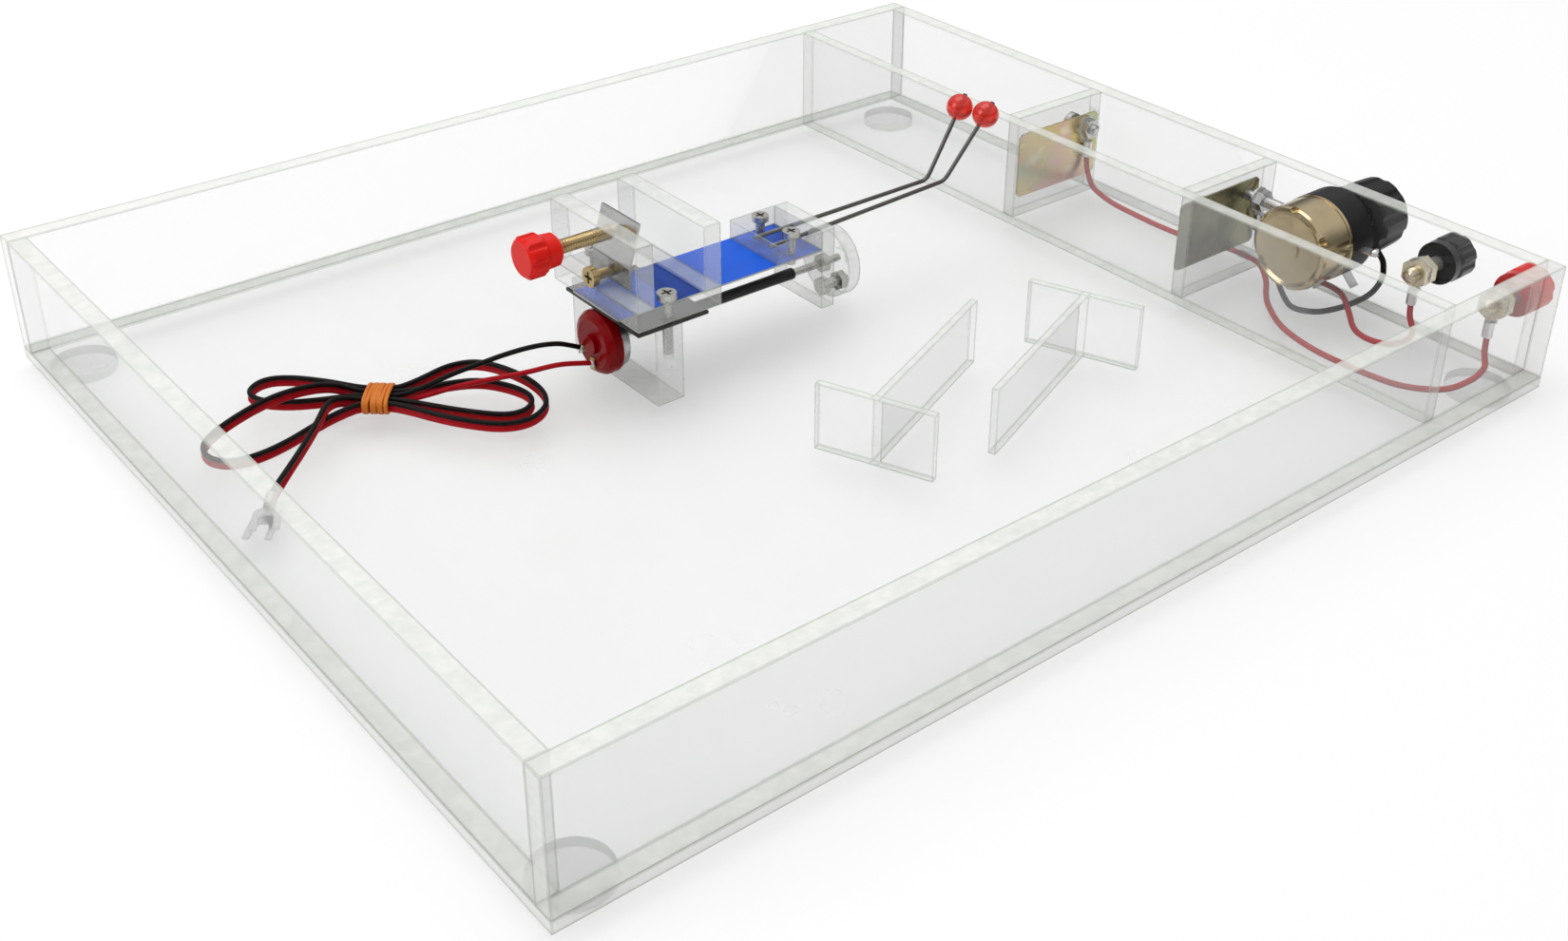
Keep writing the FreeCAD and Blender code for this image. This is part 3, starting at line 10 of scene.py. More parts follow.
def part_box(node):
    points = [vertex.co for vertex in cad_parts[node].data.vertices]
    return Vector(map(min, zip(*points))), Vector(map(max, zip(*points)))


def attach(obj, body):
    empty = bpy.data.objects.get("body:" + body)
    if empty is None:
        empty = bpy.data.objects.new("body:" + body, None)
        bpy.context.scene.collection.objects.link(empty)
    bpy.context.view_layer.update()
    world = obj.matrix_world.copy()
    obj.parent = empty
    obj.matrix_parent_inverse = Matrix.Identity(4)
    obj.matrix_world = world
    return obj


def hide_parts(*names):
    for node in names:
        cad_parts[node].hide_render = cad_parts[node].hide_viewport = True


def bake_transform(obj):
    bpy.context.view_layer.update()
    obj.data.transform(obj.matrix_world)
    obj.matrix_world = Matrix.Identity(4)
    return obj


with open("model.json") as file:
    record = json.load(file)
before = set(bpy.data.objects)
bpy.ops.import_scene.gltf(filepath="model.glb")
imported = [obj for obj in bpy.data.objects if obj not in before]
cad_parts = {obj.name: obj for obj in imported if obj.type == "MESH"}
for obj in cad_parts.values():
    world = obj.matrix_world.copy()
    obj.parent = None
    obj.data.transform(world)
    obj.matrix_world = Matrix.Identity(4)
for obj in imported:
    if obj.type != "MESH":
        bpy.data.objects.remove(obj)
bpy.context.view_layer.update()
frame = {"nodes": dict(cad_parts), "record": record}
scene = bpy.context.scene
MM = 0.001
ORIGIN = Vector((156.5, 127.5, 0))
ON_FACE = 0.00015


def tray(x, y, z):
    """A place measured in mm from the tray's near left corner on the table, in the scene's metres."""
    return (Vector((x, y, z)) - ORIGIN) * MM


# Camera, fitted to the tray's corners in the photograph
PHOTO_WIDTH = 1650
PHOTO_SHIFT = (-45, -120)
SENSOR_WIDTH = 36
FOCAL_LENGTH = 42.946
CAMERA_SPOT = (-112.25, -204.13, 244.12)
CAMERA_ANGLES = (60.733, -0.833, -39.491)


def make_camera():
    data = bpy.data.cameras.new("camera")
    data.sensor_width = SENSOR_WIDTH
    data.lens = FOCAL_LENGTH
    data.shift_x, data.shift_y = [shift / PHOTO_WIDTH for shift in PHOTO_SHIFT]
    data.clip_start = 0.01
    camera = bpy.data.objects.new("camera", data)
    camera.location = tray(*CAMERA_SPOT)
    camera.rotation_euler = [math.radians(angle) for angle in CAMERA_ANGLES]
    scene.collection.objects.link(camera)
    scene.camera = camera


make_camera()


# Shader nodes
class Socket:
    """One shader value: arithmetic on it adds Math nodes."""

    def __init__(self, tree, link):
        self.tree = tree
        self.link = link

    def maths(self, operation, first, second=0.0):
        return self.tree.maths(operation, first, second)

    def __add__(self, other):
        return self.maths("ADD", self, other)

    def __sub__(self, other):
        return self.maths("SUBTRACT", self, other)

    def __mul__(self, other):
        return self.maths("MULTIPLY", self, other)

    def __truediv__(self, other):
        return self.maths("DIVIDE", self, other)

    def __rsub__(self, other):
        return self.maths("SUBTRACT", other, self)

    def __gt__(self, other):
        return self.maths("GREATER_THAN", self, other)

    def __lt__(self, other):
        return self.maths("LESS_THAN", self, other)

    __radd__ = __add__
    __rmul__ = __mul__

    def absolute(self):
        return self.maths("ABSOLUTE", self)

    def highest(self, other):
        return self.maths("MAXIMUM", self, other)

    def lowest(self, other):
        return self.maths("MINIMUM", self, other)

    def clamped(self):
        return self.highest(0.0).lowest(1.0)

    def step(self, low, high):
        """0 below low, 1 above high, smooth between."""
        ramp = self.tree.node("ShaderNodeMapRange", {"interpolation_type": "SMOOTHSTEP"},
                              {"Value": self, "From Min": low, "From Max": high})
        return ramp["Result"]


class Graph:
    """A node tree being built."""

    def __init__(self, tree):
        self.tree = tree

    def put(self, socket, value):
        if isinstance(value, Socket):
            self.tree.links.new(value.link, socket)
        else:
            socket.default_value = value

    def node(self, kind, settings=None, values=None):
        made = self.tree.nodes.new(kind)
        for name, value in (settings or {}).items():
            setattr(made, name, value)
        if isinstance(values, dict):
            for name, value in values.items():
                self.put(made.inputs[name], value)
        else:
            for index, value in enumerate(values or []):
                self.put(made.inputs[index], value)
        return {socket.name: Socket(self, socket) for socket in reversed(made.outputs)}

    def maths(self, operation, first, second=0.0):
        return self.node("ShaderNodeMath", {"operation": operation}, [first, second])["Value"]

    def axes(self, vector):
        parts = self.node("ShaderNodeSeparateXYZ", {}, [vector])
        return parts["X"], parts["Y"], parts["Z"]


class Finish(Graph):
    """A material being built on one Principled shader."""

    def __init__(self, name, gloss=0.5):
        self.material = bpy.data.materials.new(name)
        self.material.use_nodes = True
        super().__init__(self.material.node_tree)
        self.shader = self.tree.nodes["Principled BSDF"]
        self.output = self.tree.nodes["Material Output"]
        self.shader.inputs["Specular IOR Level"].default_value = gloss

    def place(self, scale=(1, 1, 1), spot=None, turn=0.0):
        """Object coordinates, stretched, or measured from a spot in a turned frame."""
        where = self.node("ShaderNodeTexCoord")["Object"]
        if spot is not None:
            return self.node("ShaderNodeMapping", {"vector_type": "TEXTURE"},
                             {"Vector": where, "Location": spot, "Rotation": (0, 0, turn)})["Vector"]
        if scale == (1, 1, 1):
            return where
        return self.node("ShaderNodeMapping", {}, {"Vector": where, "Scale": scale})["Vector"]

    def place_axes(self):
        return self.axes(self.place())

    def lift(self):
        """How far the surface faces up, from -1 to 1."""
        return self.axes(self.node("ShaderNodeNewGeometry")["Normal"])[2]

    def upright(self):
        """1 on faces that stand, 0 on faces that lie flat."""
        return self.lift().absolute() < 0.5

    def noise(self, scale, detail=2.0, stretch=(1, 1, 1), roughness=0.5):
        return self.node("ShaderNodeTexNoise", {}, {"Vector": self.place(stretch), "Scale": scale,
                                                    "Detail": detail, "Roughness": roughness})["Fac"]

    def blend(self, factor, first, second):
        """A colour between two others."""
        mix = self.tree.nodes.new("ShaderNodeMix")
        mix.data_type = "RGBA"
        mix.clamp_factor = True
        self.put(mix.inputs[0], factor)
        self.put(mix.inputs[6], first)
        self.put(mix.inputs[7], second)
        return Socket(self, mix.outputs[2])

    def bump(self, height, strength=0.3, distance=0.0002):
        normal = self.node("ShaderNodeBump", {}, {"Strength": strength, "Distance": distance,
                                                  "Height": height})["Normal"]
        self.put(self.shader.inputs["Normal"], normal)

    def set(self, **values):
        for name, value in values.items():
            self.put(self.shader.inputs[name.replace("_", " ")], value)
        return self


def rgb(red, green, blue):
    return (red, green, blue, 1.0)


def dimmed(colour, share):
    return rgb(*[value * share for value in colour])


# Finishes
ACRYLIC_IOR = 1.49
# Share of the painted reflection in the haze's opacity.
PAINTED_REFLECTION_SHARE = 0.2


def haze_layer(finish, cut, arris, face_alpha=0.02, cut_alpha=0.5, line_alpha=0.34):
    """Clear sheet shown as a thin pale haze, with paler frosted cut faces, the standing ones painted paler
    still as painted light, fine lines of painted shade along its edges, and a painted reflection that
    thickens the haze at grazing angles.
    """
    smear = finish.noise(30.0, 3.0)
    saw = finish.noise(260.0, 3.0, (1, 1, 2.5))
    face = finish.blend(smear, rgb(0.72, 0.74, 0.73), rgb(0.82, 0.83, 0.82))
    frost_and_painted_light = finish.blend(saw.step(0.3, 0.75), rgb(0.72, 0.74, 0.69), rgb(0.82, 0.83, 0.79))
    # Painted light: standing cut faces are painted paler than the lying ones.
    frost_and_painted_light = finish.blend(finish.upright(), frost_and_painted_light, rgb(0.93, 0.94, 0.9))
    # Painted shade: the edge lines are darker than the faces, standing in for light turned away inside the
    # sheet at its edges; their green tint is the acrylic's own.
    line = finish.blend(saw, rgb(0.50, 0.53, 0.46), rgb(0.62, 0.64, 0.58))
    colour = finish.blend(arris, finish.blend(cut, face, frost_and_painted_light), line)
    # Painted reflection: the Fresnel share of opacity shows the pale haze colour more at grazing angles,
    # standing in for the white studio mirrored in the sheet.
    painted_reflection = finish.node("ShaderNodeFresnel", {}, {"IOR": ACRYLIC_IOR})["Fac"]
    body = face_alpha + smear.step(0.55, 0.8) * face_alpha * 0.5 + cut * (cut_alpha + saw * 0.14)
    body = body.highest(arris * (line_alpha + saw * 0.14))
    finish.set(Base_Color=colour, Roughness=0.13 + smear * 0.05 + cut * (0.2 + saw * 0.12),
               Alpha=1 - (1 - body) * (1 - painted_reflection * PAINTED_REFLECTION_SHARE), IOR=ACRYLIC_IOR)
    finish.bump(smear * 0.04 + cut * saw * 0.4, 0.1, 0.0003)
    return finish


def slab_distances(finish, low, high, vector=None):
    """How far a point is from each pair of the slab's faces."""
    spans = []
    axes = finish.axes(vector) if vector else finish.place_axes()
    for value, start, end in zip(axes, low, high):
        spans.append((value - start).absolute().lowest((value - end).absolute()))
    return spans


def second_least(spans):
    first, second, third = spans
    return first.lowest(second).highest(first.highest(second).lowest(third))


def glue_seam(finish, level):
    """Small bubbles and white streaks left by the cement along a joint at a level."""
    away = (finish.place_axes()[2] - level).absolute()
    streak = finish.noise(90.0, 3.0).step(0.45, 0.62)
    bubbles = finish.noise(900.0, 2.0).step(0.52, 0.66)
    return (1 - away.step(0.0004, 0.0016)) * (streak * 0.22 + bubbles * 0.3)


WALL_AT_LEAST = 0.03


def slab(name, low, high, cut_axes, line=0.0006, face_alpha=0.02, cut_alpha=0.5, line_alpha=0.34):
    """Clear sheet cut to a box: its sawn faces are those across the two given axes."""
    finish = Finish(name)
    spans = slab_distances(finish, low, high)
    arris = 1 - second_least(spans).step(line * 0.5, line)
    first, second = [spans["xyz".index(axis)] < ON_FACE for axis in cut_axes]
    cut = first.highest(second)
    if high.z - low.z > WALL_AT_LEAST:
        cut = glue_seam(finish, low.z).highest(cut)
    cut = cut * (1 - finish.upright() * 0.4)
    return haze_layer(finish, cut, arris, face_alpha, cut_alpha, line_alpha)


def clear_disc(name, low, high):
    """A clear disc across X, with a sawn rim."""
    finish = Finish(name)
    middle = (low + high) / 2
    radius = (high.z - low.z) / 2
    x, y, z = finish.place_axes()
    aside, above = y - middle.y, z - middle.z
    across = finish.maths("SQRT", aside * aside + above * above)
    rim = (across - radius).absolute()
    side = (x - low.x).absolute().lowest((x - high.x).absolute())
    arris = 1 - rim.highest(side).step(0.0003, 0.0006)
    return haze_layer(finish, rim < 0.0002, arris, 0.01, 0.3)


BARRIER_FLOOR = 0.0055
BARRIER_TOP = 0.0235
BARRIER_HALF_SHEET = 0.001
BLADE_END = 0.0565
FOOT_HALF_WIDTH = 0.01565


def clear_barrier(name, spot, turn, way):
    """A barrier's blade and foot plate, each a sheet with its own edges, turned about the upright axis."""
    finish = Finish(name)
    placed = finish.place(spot=spot, turn=turn)
    near, far = sorted((BARRIER_HALF_SHEET * way, BLADE_END * way))
    blade = ((near, -BARRIER_HALF_SHEET, BARRIER_FLOOR), (far, BARRIER_HALF_SHEET, BARRIER_TOP))
    foot = ((-BARRIER_HALF_SHEET, -FOOT_HALF_WIDTH, BARRIER_FLOOR),
            (BARRIER_HALF_SHEET, FOOT_HALF_WIDTH, BARRIER_TOP))
    first, second = [1 - second_least(slab_distances(finish, *sheet, placed)).step(0.0003, 0.0005)
                     for sheet in (blade, foot)]
    top = slab_distances(finish, *blade, placed)[2] < ON_FACE
    return haze_layer(finish, top, first.highest(second), 0.015, 0.4, 0.24)


def clear_feet(name):
    finish = Finish(name)
    side = finish.upright()
    # Standing sides take the cut colour, painted paler, and part of the edge lines' painted shade.
    return haze_layer(finish, side * 0.6, side * 0.35, 0.12)


def plain_plastic(name, colour, roughness, speckle=0.12, gloss=0.3):
    """Moulded plastic with a fine grain and slight unevenness of colour."""
    finish = Finish(name, gloss)
    grain = finish.noise(2500.0, 2.0)
    cloud = finish.noise(120.0, 3.0)
    darker = dimmed(colour, 1 - speckle)
    lighter = rgb(*[min(1.0, value * (1 + speckle) + 0.001) for value in colour])
    finish.set(Base_Color=finish.blend(cloud, darker, lighter), Roughness=roughness + cloud * 0.12)
    finish.bump(grain, 0.12, 0.00006)
    return finish


def metal(name, colour, roughness, stretch=(1, 1, 1), stain=0.3, dark=0.7):
    """Bright metal with fine working marks and a few darker stains."""
    finish = Finish(name)
    marks = finish.noise(1800.0, 3.0, stretch)
    cloud = finish.noise(160.0, 4.0)
    shade = (cloud.step(0.45, 0.75) * stain).clamped()
    worn = finish.blend(shade, rgb(*colour), dimmed(colour, dark))
    finish.set(Base_Color=worn, Metallic=1.0, Roughness=roughness + marks * 0.14 + shade * 0.15)
    finish.bump(marks, 0.12, 0.00005)
    return finish


def passivated(name):
    """Yellow zinc plate with a drifting pink, green and gold sheen; the near plate is darker and browner."""
    finish = Finish(name)
    drift = finish.noise(70.0, 3.0)
    second = finish.noise(45.0, 2.0, (1, 1, 1.7))
    gold = rgb(0.62, 0.5, 0.24)
    pink = rgb(0.66, 0.42, 0.36)
    green = rgb(0.45, 0.52, 0.34)
    pale = rgb(0.74, 0.68, 0.5)
    colour = finish.blend(drift.step(0.42, 0.62), gold, pink)
    colour = finish.blend(second.step(0.5, 0.68), colour, green)
    colour = finish.blend(finish.noise(110.0, 2.0).step(0.55, 0.75), colour, pale)
    on_near_plate = finish.place_axes()[1] < 0.0
    near_plate_darker = finish.blend(drift.step(0.4, 0.6), rgb(0.24, 0.21, 0.1), rgb(0.36, 0.33, 0.19))
    colour = finish.blend(on_near_plate, colour, near_plate_darker)
    finish.set(Base_Color=colour, Metallic=1.0, Roughness=0.22 + drift * 0.12)
    finish.bump(finish.noise(1500.0, 2.0), 0.08, 0.00005)
    return finish


BETWEEN_POSTS = -0.1036


def post_collars(name):
    """Two moulded collars: red under the red cap, black under the black one."""
    finish = Finish(name, 0.3)
    cloud = finish.noise(120.0, 3.0)
    near = finish.place_axes()[1] < BETWEEN_POSTS
    black = finish.blend(cloud, rgb(0.007, 0.007, 0.008), rgb(0.012, 0.012, 0.013))
    red = finish.blend(cloud, rgb(0.55, 0.008, 0.006), rgb(0.68, 0.014, 0.01))
    finish.set(Base_Color=finish.blend(near, black, red), Roughness=0.24 + cloud * 0.12)
    finish.bump(finish.noise(2500.0, 2.0), 0.1, 0.00006)
    return finish


def filmed_leaf(name):
    """Spring steel under a glossy blue film on its upper face."""
    finish = Finish(name, 0.16)
    up = finish.lift() > 0.5
    ripple = finish.noise(60.0, 3.0, (1, 2, 1))
    blue = finish.blend(ripple, rgb(0.002, 0.075, 0.56), rgb(0.005, 0.12, 0.72))
    finish.set(Base_Color=finish.blend(up, rgb(0.42, 0.42, 0.42), blue), Metallic=1.0 - up,
               Roughness=0.26 + ripple * 0.12)
    finish.bump(ripple, 0.12, 0.0003)
    return finish


def red_glass(name):
    finish = Finish(name)
    swirl = finish.noise(300.0, 3.0)
    finish.set(Base_Color=finish.blend(swirl, rgb(0.85, 0.02, 0.015), rgb(0.95, 0.06, 0.03)),
               Roughness=0.06 + swirl * 0.05, IOR=1.5, Transmission_Weight=0.6)
    finish.bump(swirl, 0.05, 0.0001)
    return finish


def insulation(name, colour):
    finish = Finish(name, 0.12)
    scuff = finish.noise(500.0, 3.0)
    worn = rgb(*[value * 1.25 + 0.002 for value in colour])
    finish.set(Base_Color=finish.blend(scuff.step(0.4, 0.8), rgb(*colour), worn),
               Roughness=0.3 + scuff * 0.15)
    finish.bump(scuff, 0.1, 0.0001)
    return finish


FINISHES = {
    "clear_pad": clear_feet("clear_foot_pad"),
    "zinc_plate": passivated("yellow_zinc_plate"),
    "spring_steel": metal("bright_spring_steel", (0.56, 0.56, 0.55), 0.16),
    "zinc_bolt": metal("bright_zinc", (0.6, 0.6, 0.59), 0.2),
    "tinned": metal("tinned_metal", (0.7, 0.7, 0.7), 0.22),
    "gold_zinc": metal("gold_zinc_can", (0.52, 0.42, 0.26), 0.1, stain=0.55),
    "black_plastic": plain_plastic("black_moulding", (0.006, 0.006, 0.007), 0.34, gloss=0.22),
    "gloss_black": plain_plastic("gloss_black_moulding", (0.006, 0.006, 0.007), 0.2, gloss=0.28),
    "gloss_red": plain_plastic("gloss_red_moulding", (0.72, 0.008, 0.004), 0.26, gloss=0.18),
    "brass": metal("turned_brass", (0.46, 0.34, 0.17), 0.16),
    "red_pvc": insulation("red_insulation", (0.36, 0.003, 0.008)),
    "black_pvc": insulation("black_insulation", (0.005, 0.003, 0.003)),
    "screw_steel": metal("nickel_screw_steel", (0.56, 0.55, 0.52), 0.18),
    "nickel_brass": metal("nickel_plated_stud", (0.62, 0.56, 0.42), 0.18),
    "rod_steel": metal("dark_polished_rod", (0.13, 0.125, 0.12), 0.14),
    "blue_leaf": filmed_leaf("blue_filmed_leaf"),
    "dark_steel": metal("dark_spring_plate", (0.05, 0.047, 0.045), 0.3),
    "motor_metal": metal("drawn_motor_can", (0.58, 0.58, 0.58), 0.16, (1, 1, 3)),
    "red_cap_plastic": plain_plastic("red_motor_cap", (0.2, 0.0, 0.001), 0.16, gloss=0.12),
    "black_rubber": plain_plastic("black_rubber_tube", (0.007, 0.007, 0.007), 0.22, gloss=0.35),
    "red_bead": red_glass("red_bead_plastic"),
    "orange_band": plain_plastic("orange_rubber_band", (0.55, 0.15, 0.012), 0.45, speckle=0.25),
}

SAWN_FACES = {
    "base_sheet": "xy", "near_long_wall": "xz", "far_long_wall": "xz", "left_end_wall": "yz",
    "right_end_wall": "yz", "divider_wall": "yz", "battery_partition_far": "xz",
    "battery_partition_near": "xz", "clamp_base": "xy", "clamp_screw_cheek": "yz",
    "clamp_plain_cheek": "yz", "support_leg": "yz", "rod_block": "xy", "bearing_plate": "yz"}
OUTER_WALLS = ("near_long_wall", "far_long_wall", "left_end_wall")
SMALL_SHEETS = ("clamp_base", "clamp_screw_cheek", "clamp_plain_cheek", "support_leg", "rod_block",
                "bearing_plate")
BARRIERS = {"left_barrier": ((137.22, 75.4, 0), 22.9, 1), "right_barrier": ((214.4, 82.1, 0), 21.8, -1)}


def clear_finish(node):
    low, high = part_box(node)
    name = "clear_" + node
    if node in BARRIERS:
        spot, turn, way = BARRIERS[node]
        return clear_barrier(name, tray(*spot), math.radians(turn), way)
    if node == "eccentric_disc":
        return clear_disc(name, low, high)
    sawn = SAWN_FACES[node]
    if node == "base_sheet":
        return slab(name, low, high, sawn, face_alpha=0.12, cut_alpha=0.3)
    if node in OUTER_WALLS:
        return slab(name, low, high, sawn, face_alpha=0.035)
    if node in SMALL_SHEETS:
        return slab(name, low, high, sawn, line=0.0005, face_alpha=0.008, cut_alpha=0.34, line_alpha=0.3)
    return slab(name, low, high, sawn)


def dress_cad_nodes():
    for entry in frame["record"]["subparts"]:
        node = entry["node"]
        slot_name = entry["material_slot"]
        finish = clear_finish(node) if slot_name == "clear_acrylic" else FINISHES[slot_name]
        if node == "post_collars":
            finish = post_collars("post_collar_moulding")
        for slot in frame["nodes"][node].material_slots:
            slot.material = finish.material


# Motor lead: two conductors, each one smooth line from the motor through the hank to its lug
HANK_CENTRE = Vector((57.6, 170.0, 7.5))
HANK_TURN = Matrix.Rotation(math.radians(-40), 3, "Z")
PAIR_STEP = 1.75
LEAD_DIAMETER = 1.3
LUG = Vector((17.8, 145.2, 0))
LUG_HEADING = Vector((-0.65, -0.76, 0))

HANK_ROUTE = [
    (3, 0, 0), (1.5, 0, 0), (-1.5, 0, 0), (-4.5, 0, 0), (-8.5, -0.9, 0), (-14, -2.7, 0), (-21, -4.1, 0),
    (-28.3, -3.5, 0), (-32.8, 0.4, 0), (-30.6, 6.8, 0), (-24, 8.3, 0), (-14, 6.5, 0), (-8, 4.5, 0),
    (-4, 3.6, 0), (0, 3.6, 0), (4, 3.7, 0), (9, 7.4, 0.6), (14.6, 13, 1.4), (21.5, 14.6, 2), (28.5, 11.9, 2),
    (36, 6.4, 2), (41, 0.5, 1.5), (42.3, -5.4, 1), (39.4, -10.8, 0.5), (33, -12.7, 0), (25, -11.5, 0),
    (17, -9, 0), (9.5, -5.6, 0), (4.5, -3.75, 0), (0, -3.6, 0), (-4, -3.75, -0.2), (-9.2, -7.6, -1),
    (-13.3, -13.2, -1.2), (-17, -19.6, -1.2), (-21.8, -26, -1), (-27, -30.2, -0.6), (-32.6, -30, -0.3),
    (-36, -25.8, 0), (-35.4, -20.4, 0.5), (-31, -14.2, 1.9), (-24.5, -8.2, 3.6), (-17.5, -3.4, 4),
    (-12, 0.4, 2.9), (-7.5, 1.9, 0.8), (-4, 1.8, 0), (0, 1.8, 0), (4, 1.9, 0), (10, 3.8, 0), (17, 6.2, 0.5),
    (24, 6.8, 1), (31, 4.6, 1), (36.4, 1.2, 1), (38.6, -2.8, 1), (37.6, -6.4, 0.5), (33.4, -8.2, 0),
    (26.5, -7.5, 0), (18, -5.5, 0), (10, -3.1, 0), (4.5, -1.8, 0), (1.5, -1.8, 0), (-1.5, -1.8, 0),
    (-3, -1.8, 0)]
MOTOR_END = {
    "red": [(105.35, 146.6, 12.2), (99.6, 146.6, 14.1), (94.4, 146.9, 15.3), (88.2, 148.8, 14.7),
            (82.6, 152.2, 13.6)],
    "black": [(105.35, 151.5, 14.4), (101.6, 151.4, 16.45), (98, 151.4, 18.25), (91.5, 151.5, 19.65),
              (84.6, 154.2, 18.45)],
}
MOTOR_RISE = {
    "red": [(26, 1.9, 5.4), (19.3, 1, 4.1), (12.5, 0.5, 1.9), (6.6, 0, 0.3)],
    "black": [(24.5, 3, 7.5), (18, 2, 5.2), (12, 0.8, 2.4), (6.6, 0, 0.4)],
}
TAIL = [(-6.4, -2, 0.3), (-9.4, -5, 1.8), (-10.5, -9.6, 2.8), (-10.4, -17, 2.9), (-11.4, -26, 2),
        (-13, -34, 0.8)]
WEB_RADIUS = 0.4


def lead_spot(along, across, rise):
    return HANK_CENTRE + HANK_TURN @ Vector((along, across, 0)) + Vector((0, 0, rise))


def smooth_line(name, points, radius, slot):
    """A tube along one open NURBS line through places in mm."""
    curve = bpy.data.curves.new(name, "CURVE")
    curve.dimensions = "3D"
    spline = curve.splines.new("NURBS")
    spline.points.add(len(points) - 1)
    for target, point in zip(spline.points, points):
        target.co = (*tray(*point), 1)
    spline.order_u = 3
    spline.use_endpoint_u = True
    spline.resolution_u = 6
    curve.bevel_depth = radius * MM
    curve.bevel_resolution = 4
    curve.use_fill_caps = True
    curve.materials.append(FINISHES[slot].material)
    line = bpy.data.objects.new(name, curve)
    scene.collection.objects.link(line)
    return line


def hank_points(rise):
    return [lead_spot(along, across, up + rise) for along, across, up in HANK_ROUTE + TAIL]


def make_conductor(colour, rise, lug_level):
    points = [Vector(point) for point in MOTOR_END[colour]]
    points += [lead_spot(along, across, up + rise) for along, across, up in MOTOR_RISE[colour]]
    points += hank_points(rise)
    points.append(LUG - LUG_HEADING * 2.6 + Vector((0, 0, lug_level)))
    points.append(LUG + LUG_HEADING * 0.1 + Vector((0, 0, lug_level)))
    lead = smooth_line("lead_" + colour, points, LEAD_DIAMETER / 2, colour + "_pvc")
    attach(lead, "dipper_unit")
    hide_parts("motor_wire_" + colour, "lead_hank_" + colour, "lead_tail_" + colour)
    tray(*points[0])


def make_web():
    """The thin web that joins the two conductors through the hank."""
    source = smooth_line("web_source", hank_points(PAIR_STEP / 2), WEB_RADIUS, "red_pvc")
    graph = bpy.context.evaluated_depsgraph_get()
    mesh = bpy.data.meshes.new_from_object(source.evaluated_get(graph))
    bpy.data.objects.remove(source)
    web = bpy.data.objects.new("lead_web", mesh)
    scene.collection.objects.link(web)
    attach(web, "dipper_unit")


make_web()
make_conductor("red", 0, 6.8)
make_conductor("black", PAIR_STEP, 9.2)


# Small fittings
def turns(count):
    """Angles once round a circle."""
    return [index / count * 2 * math.pi for index in range(count)]


def finish_piece(name, shape, body, slot):
    bmesh.ops.recalc_face_normals(shape, faces=shape.faces)
    for face in shape.faces:
        face.smooth = True
    mesh = bpy.data.meshes.new(name)
    shape.to_mesh(mesh)
    shape.free()
    mesh.set_sharp_from_angle(angle=math.radians(40))
    mesh.materials.append(FINISHES[slot].material)
    piece = bpy.data.objects.new(name, mesh)
    scene.collection.objects.link(piece)
    if body:
        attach(piece, body)
    return piece


def skin(shape, rings, closed=False):
    """Faces between rings of points in mm; an open row of rings is capped at both ends."""
    rows = [[shape.verts.new(tray(*point)) for point in ring] for ring in rings]
    for first, second in zip(rows, rows[1:] + rows[:1] if closed else rows[1:]):
        for index in range(len(first)):
            after = (index + 1) % len(first)
            shape.faces.new((first[index], first[after], second[after], second[index]))
    if not closed:
        shape.faces.new(rows[0])
        shape.faces.new(rows[-1])


def rod_tree():
    """A threaded rod along X: a grid rolled into a tube whose radius rises and falls along a helix."""
    tree = bpy.data.node_groups.new("threaded_rod", "GeometryNodeTree")
    tree.interface.new_socket("Geometry", in_out="INPUT", socket_type="NodeSocketGeometry")
    for name in ("Length", "Radius", "Pitch", "Depth", "Nose Length", "Nose Radius"):
        tree.interface.new_socket(name, in_out="INPUT", socket_type="NodeSocketFloat")
    tree.interface.new_socket("Finish", in_out="INPUT", socket_type="NodeSocketMaterial")
    tree.interface.new_socket("Geometry", in_out="OUTPUT", socket_type="NodeSocketGeometry")
    graph = Graph(tree)
    sizes = graph.node("NodeGroupInput")
    length = sizes["Length"]
    rows = length / sizes["Pitch"] * 6 + 4
    grid = graph.node("GeometryNodeMeshGrid", {}, {
        "Size X": 1.0, "Size Y": 1.0, "Vertices X": rows, "Vertices Y": 25})["Mesh"]
    x, y, z = graph.axes(graph.node("GeometryNodeInputPosition")["Position"])
    along = (x + 0.5) * length
    phase = graph.maths("FRACT", along / sizes["Pitch"] - y + 0.5)
    ridge = (phase * 2 - 1).absolute()
    root = sizes["Radius"] - sizes["Depth"]
    radius = (root + sizes["Depth"] * ridge).lowest(root + along).lowest(root + length - along)
    nose = (length - along) < sizes["Nose Length"]
    radius = radius * (1 - nose) + sizes["Nose Radius"] * nose
    radius = radius * (x.absolute() < 0.4999)
    angle = y * (2 * math.pi)
    rolled = graph.node("ShaderNodeCombineXYZ", {}, {
        "X": along, "Y": radius * graph.maths("COSINE", angle),
        "Z": radius * graph.maths("SINE", angle)})["Vector"]
    tube = grid
    for kind, values in (("GeometryNodeSetPosition", {"Position": rolled}),
                         ("GeometryNodeMergeByDistance", {"Distance": 0.000002}),
                         ("GeometryNodeSetShadeSmooth", {}),
                         ("GeometryNodeRealizeInstances", {}),
                         ("GeometryNodeSetMaterial", {"Material": sizes["Finish"]})):
        tube = graph.node(kind, {}, {"Geometry": tube, **values})["Geometry"]
    output = tree.nodes.new("NodeGroupOutput")
    graph.put(output.inputs["Geometry"], tube)
    return tree


THREADED_ROD = rod_tree()


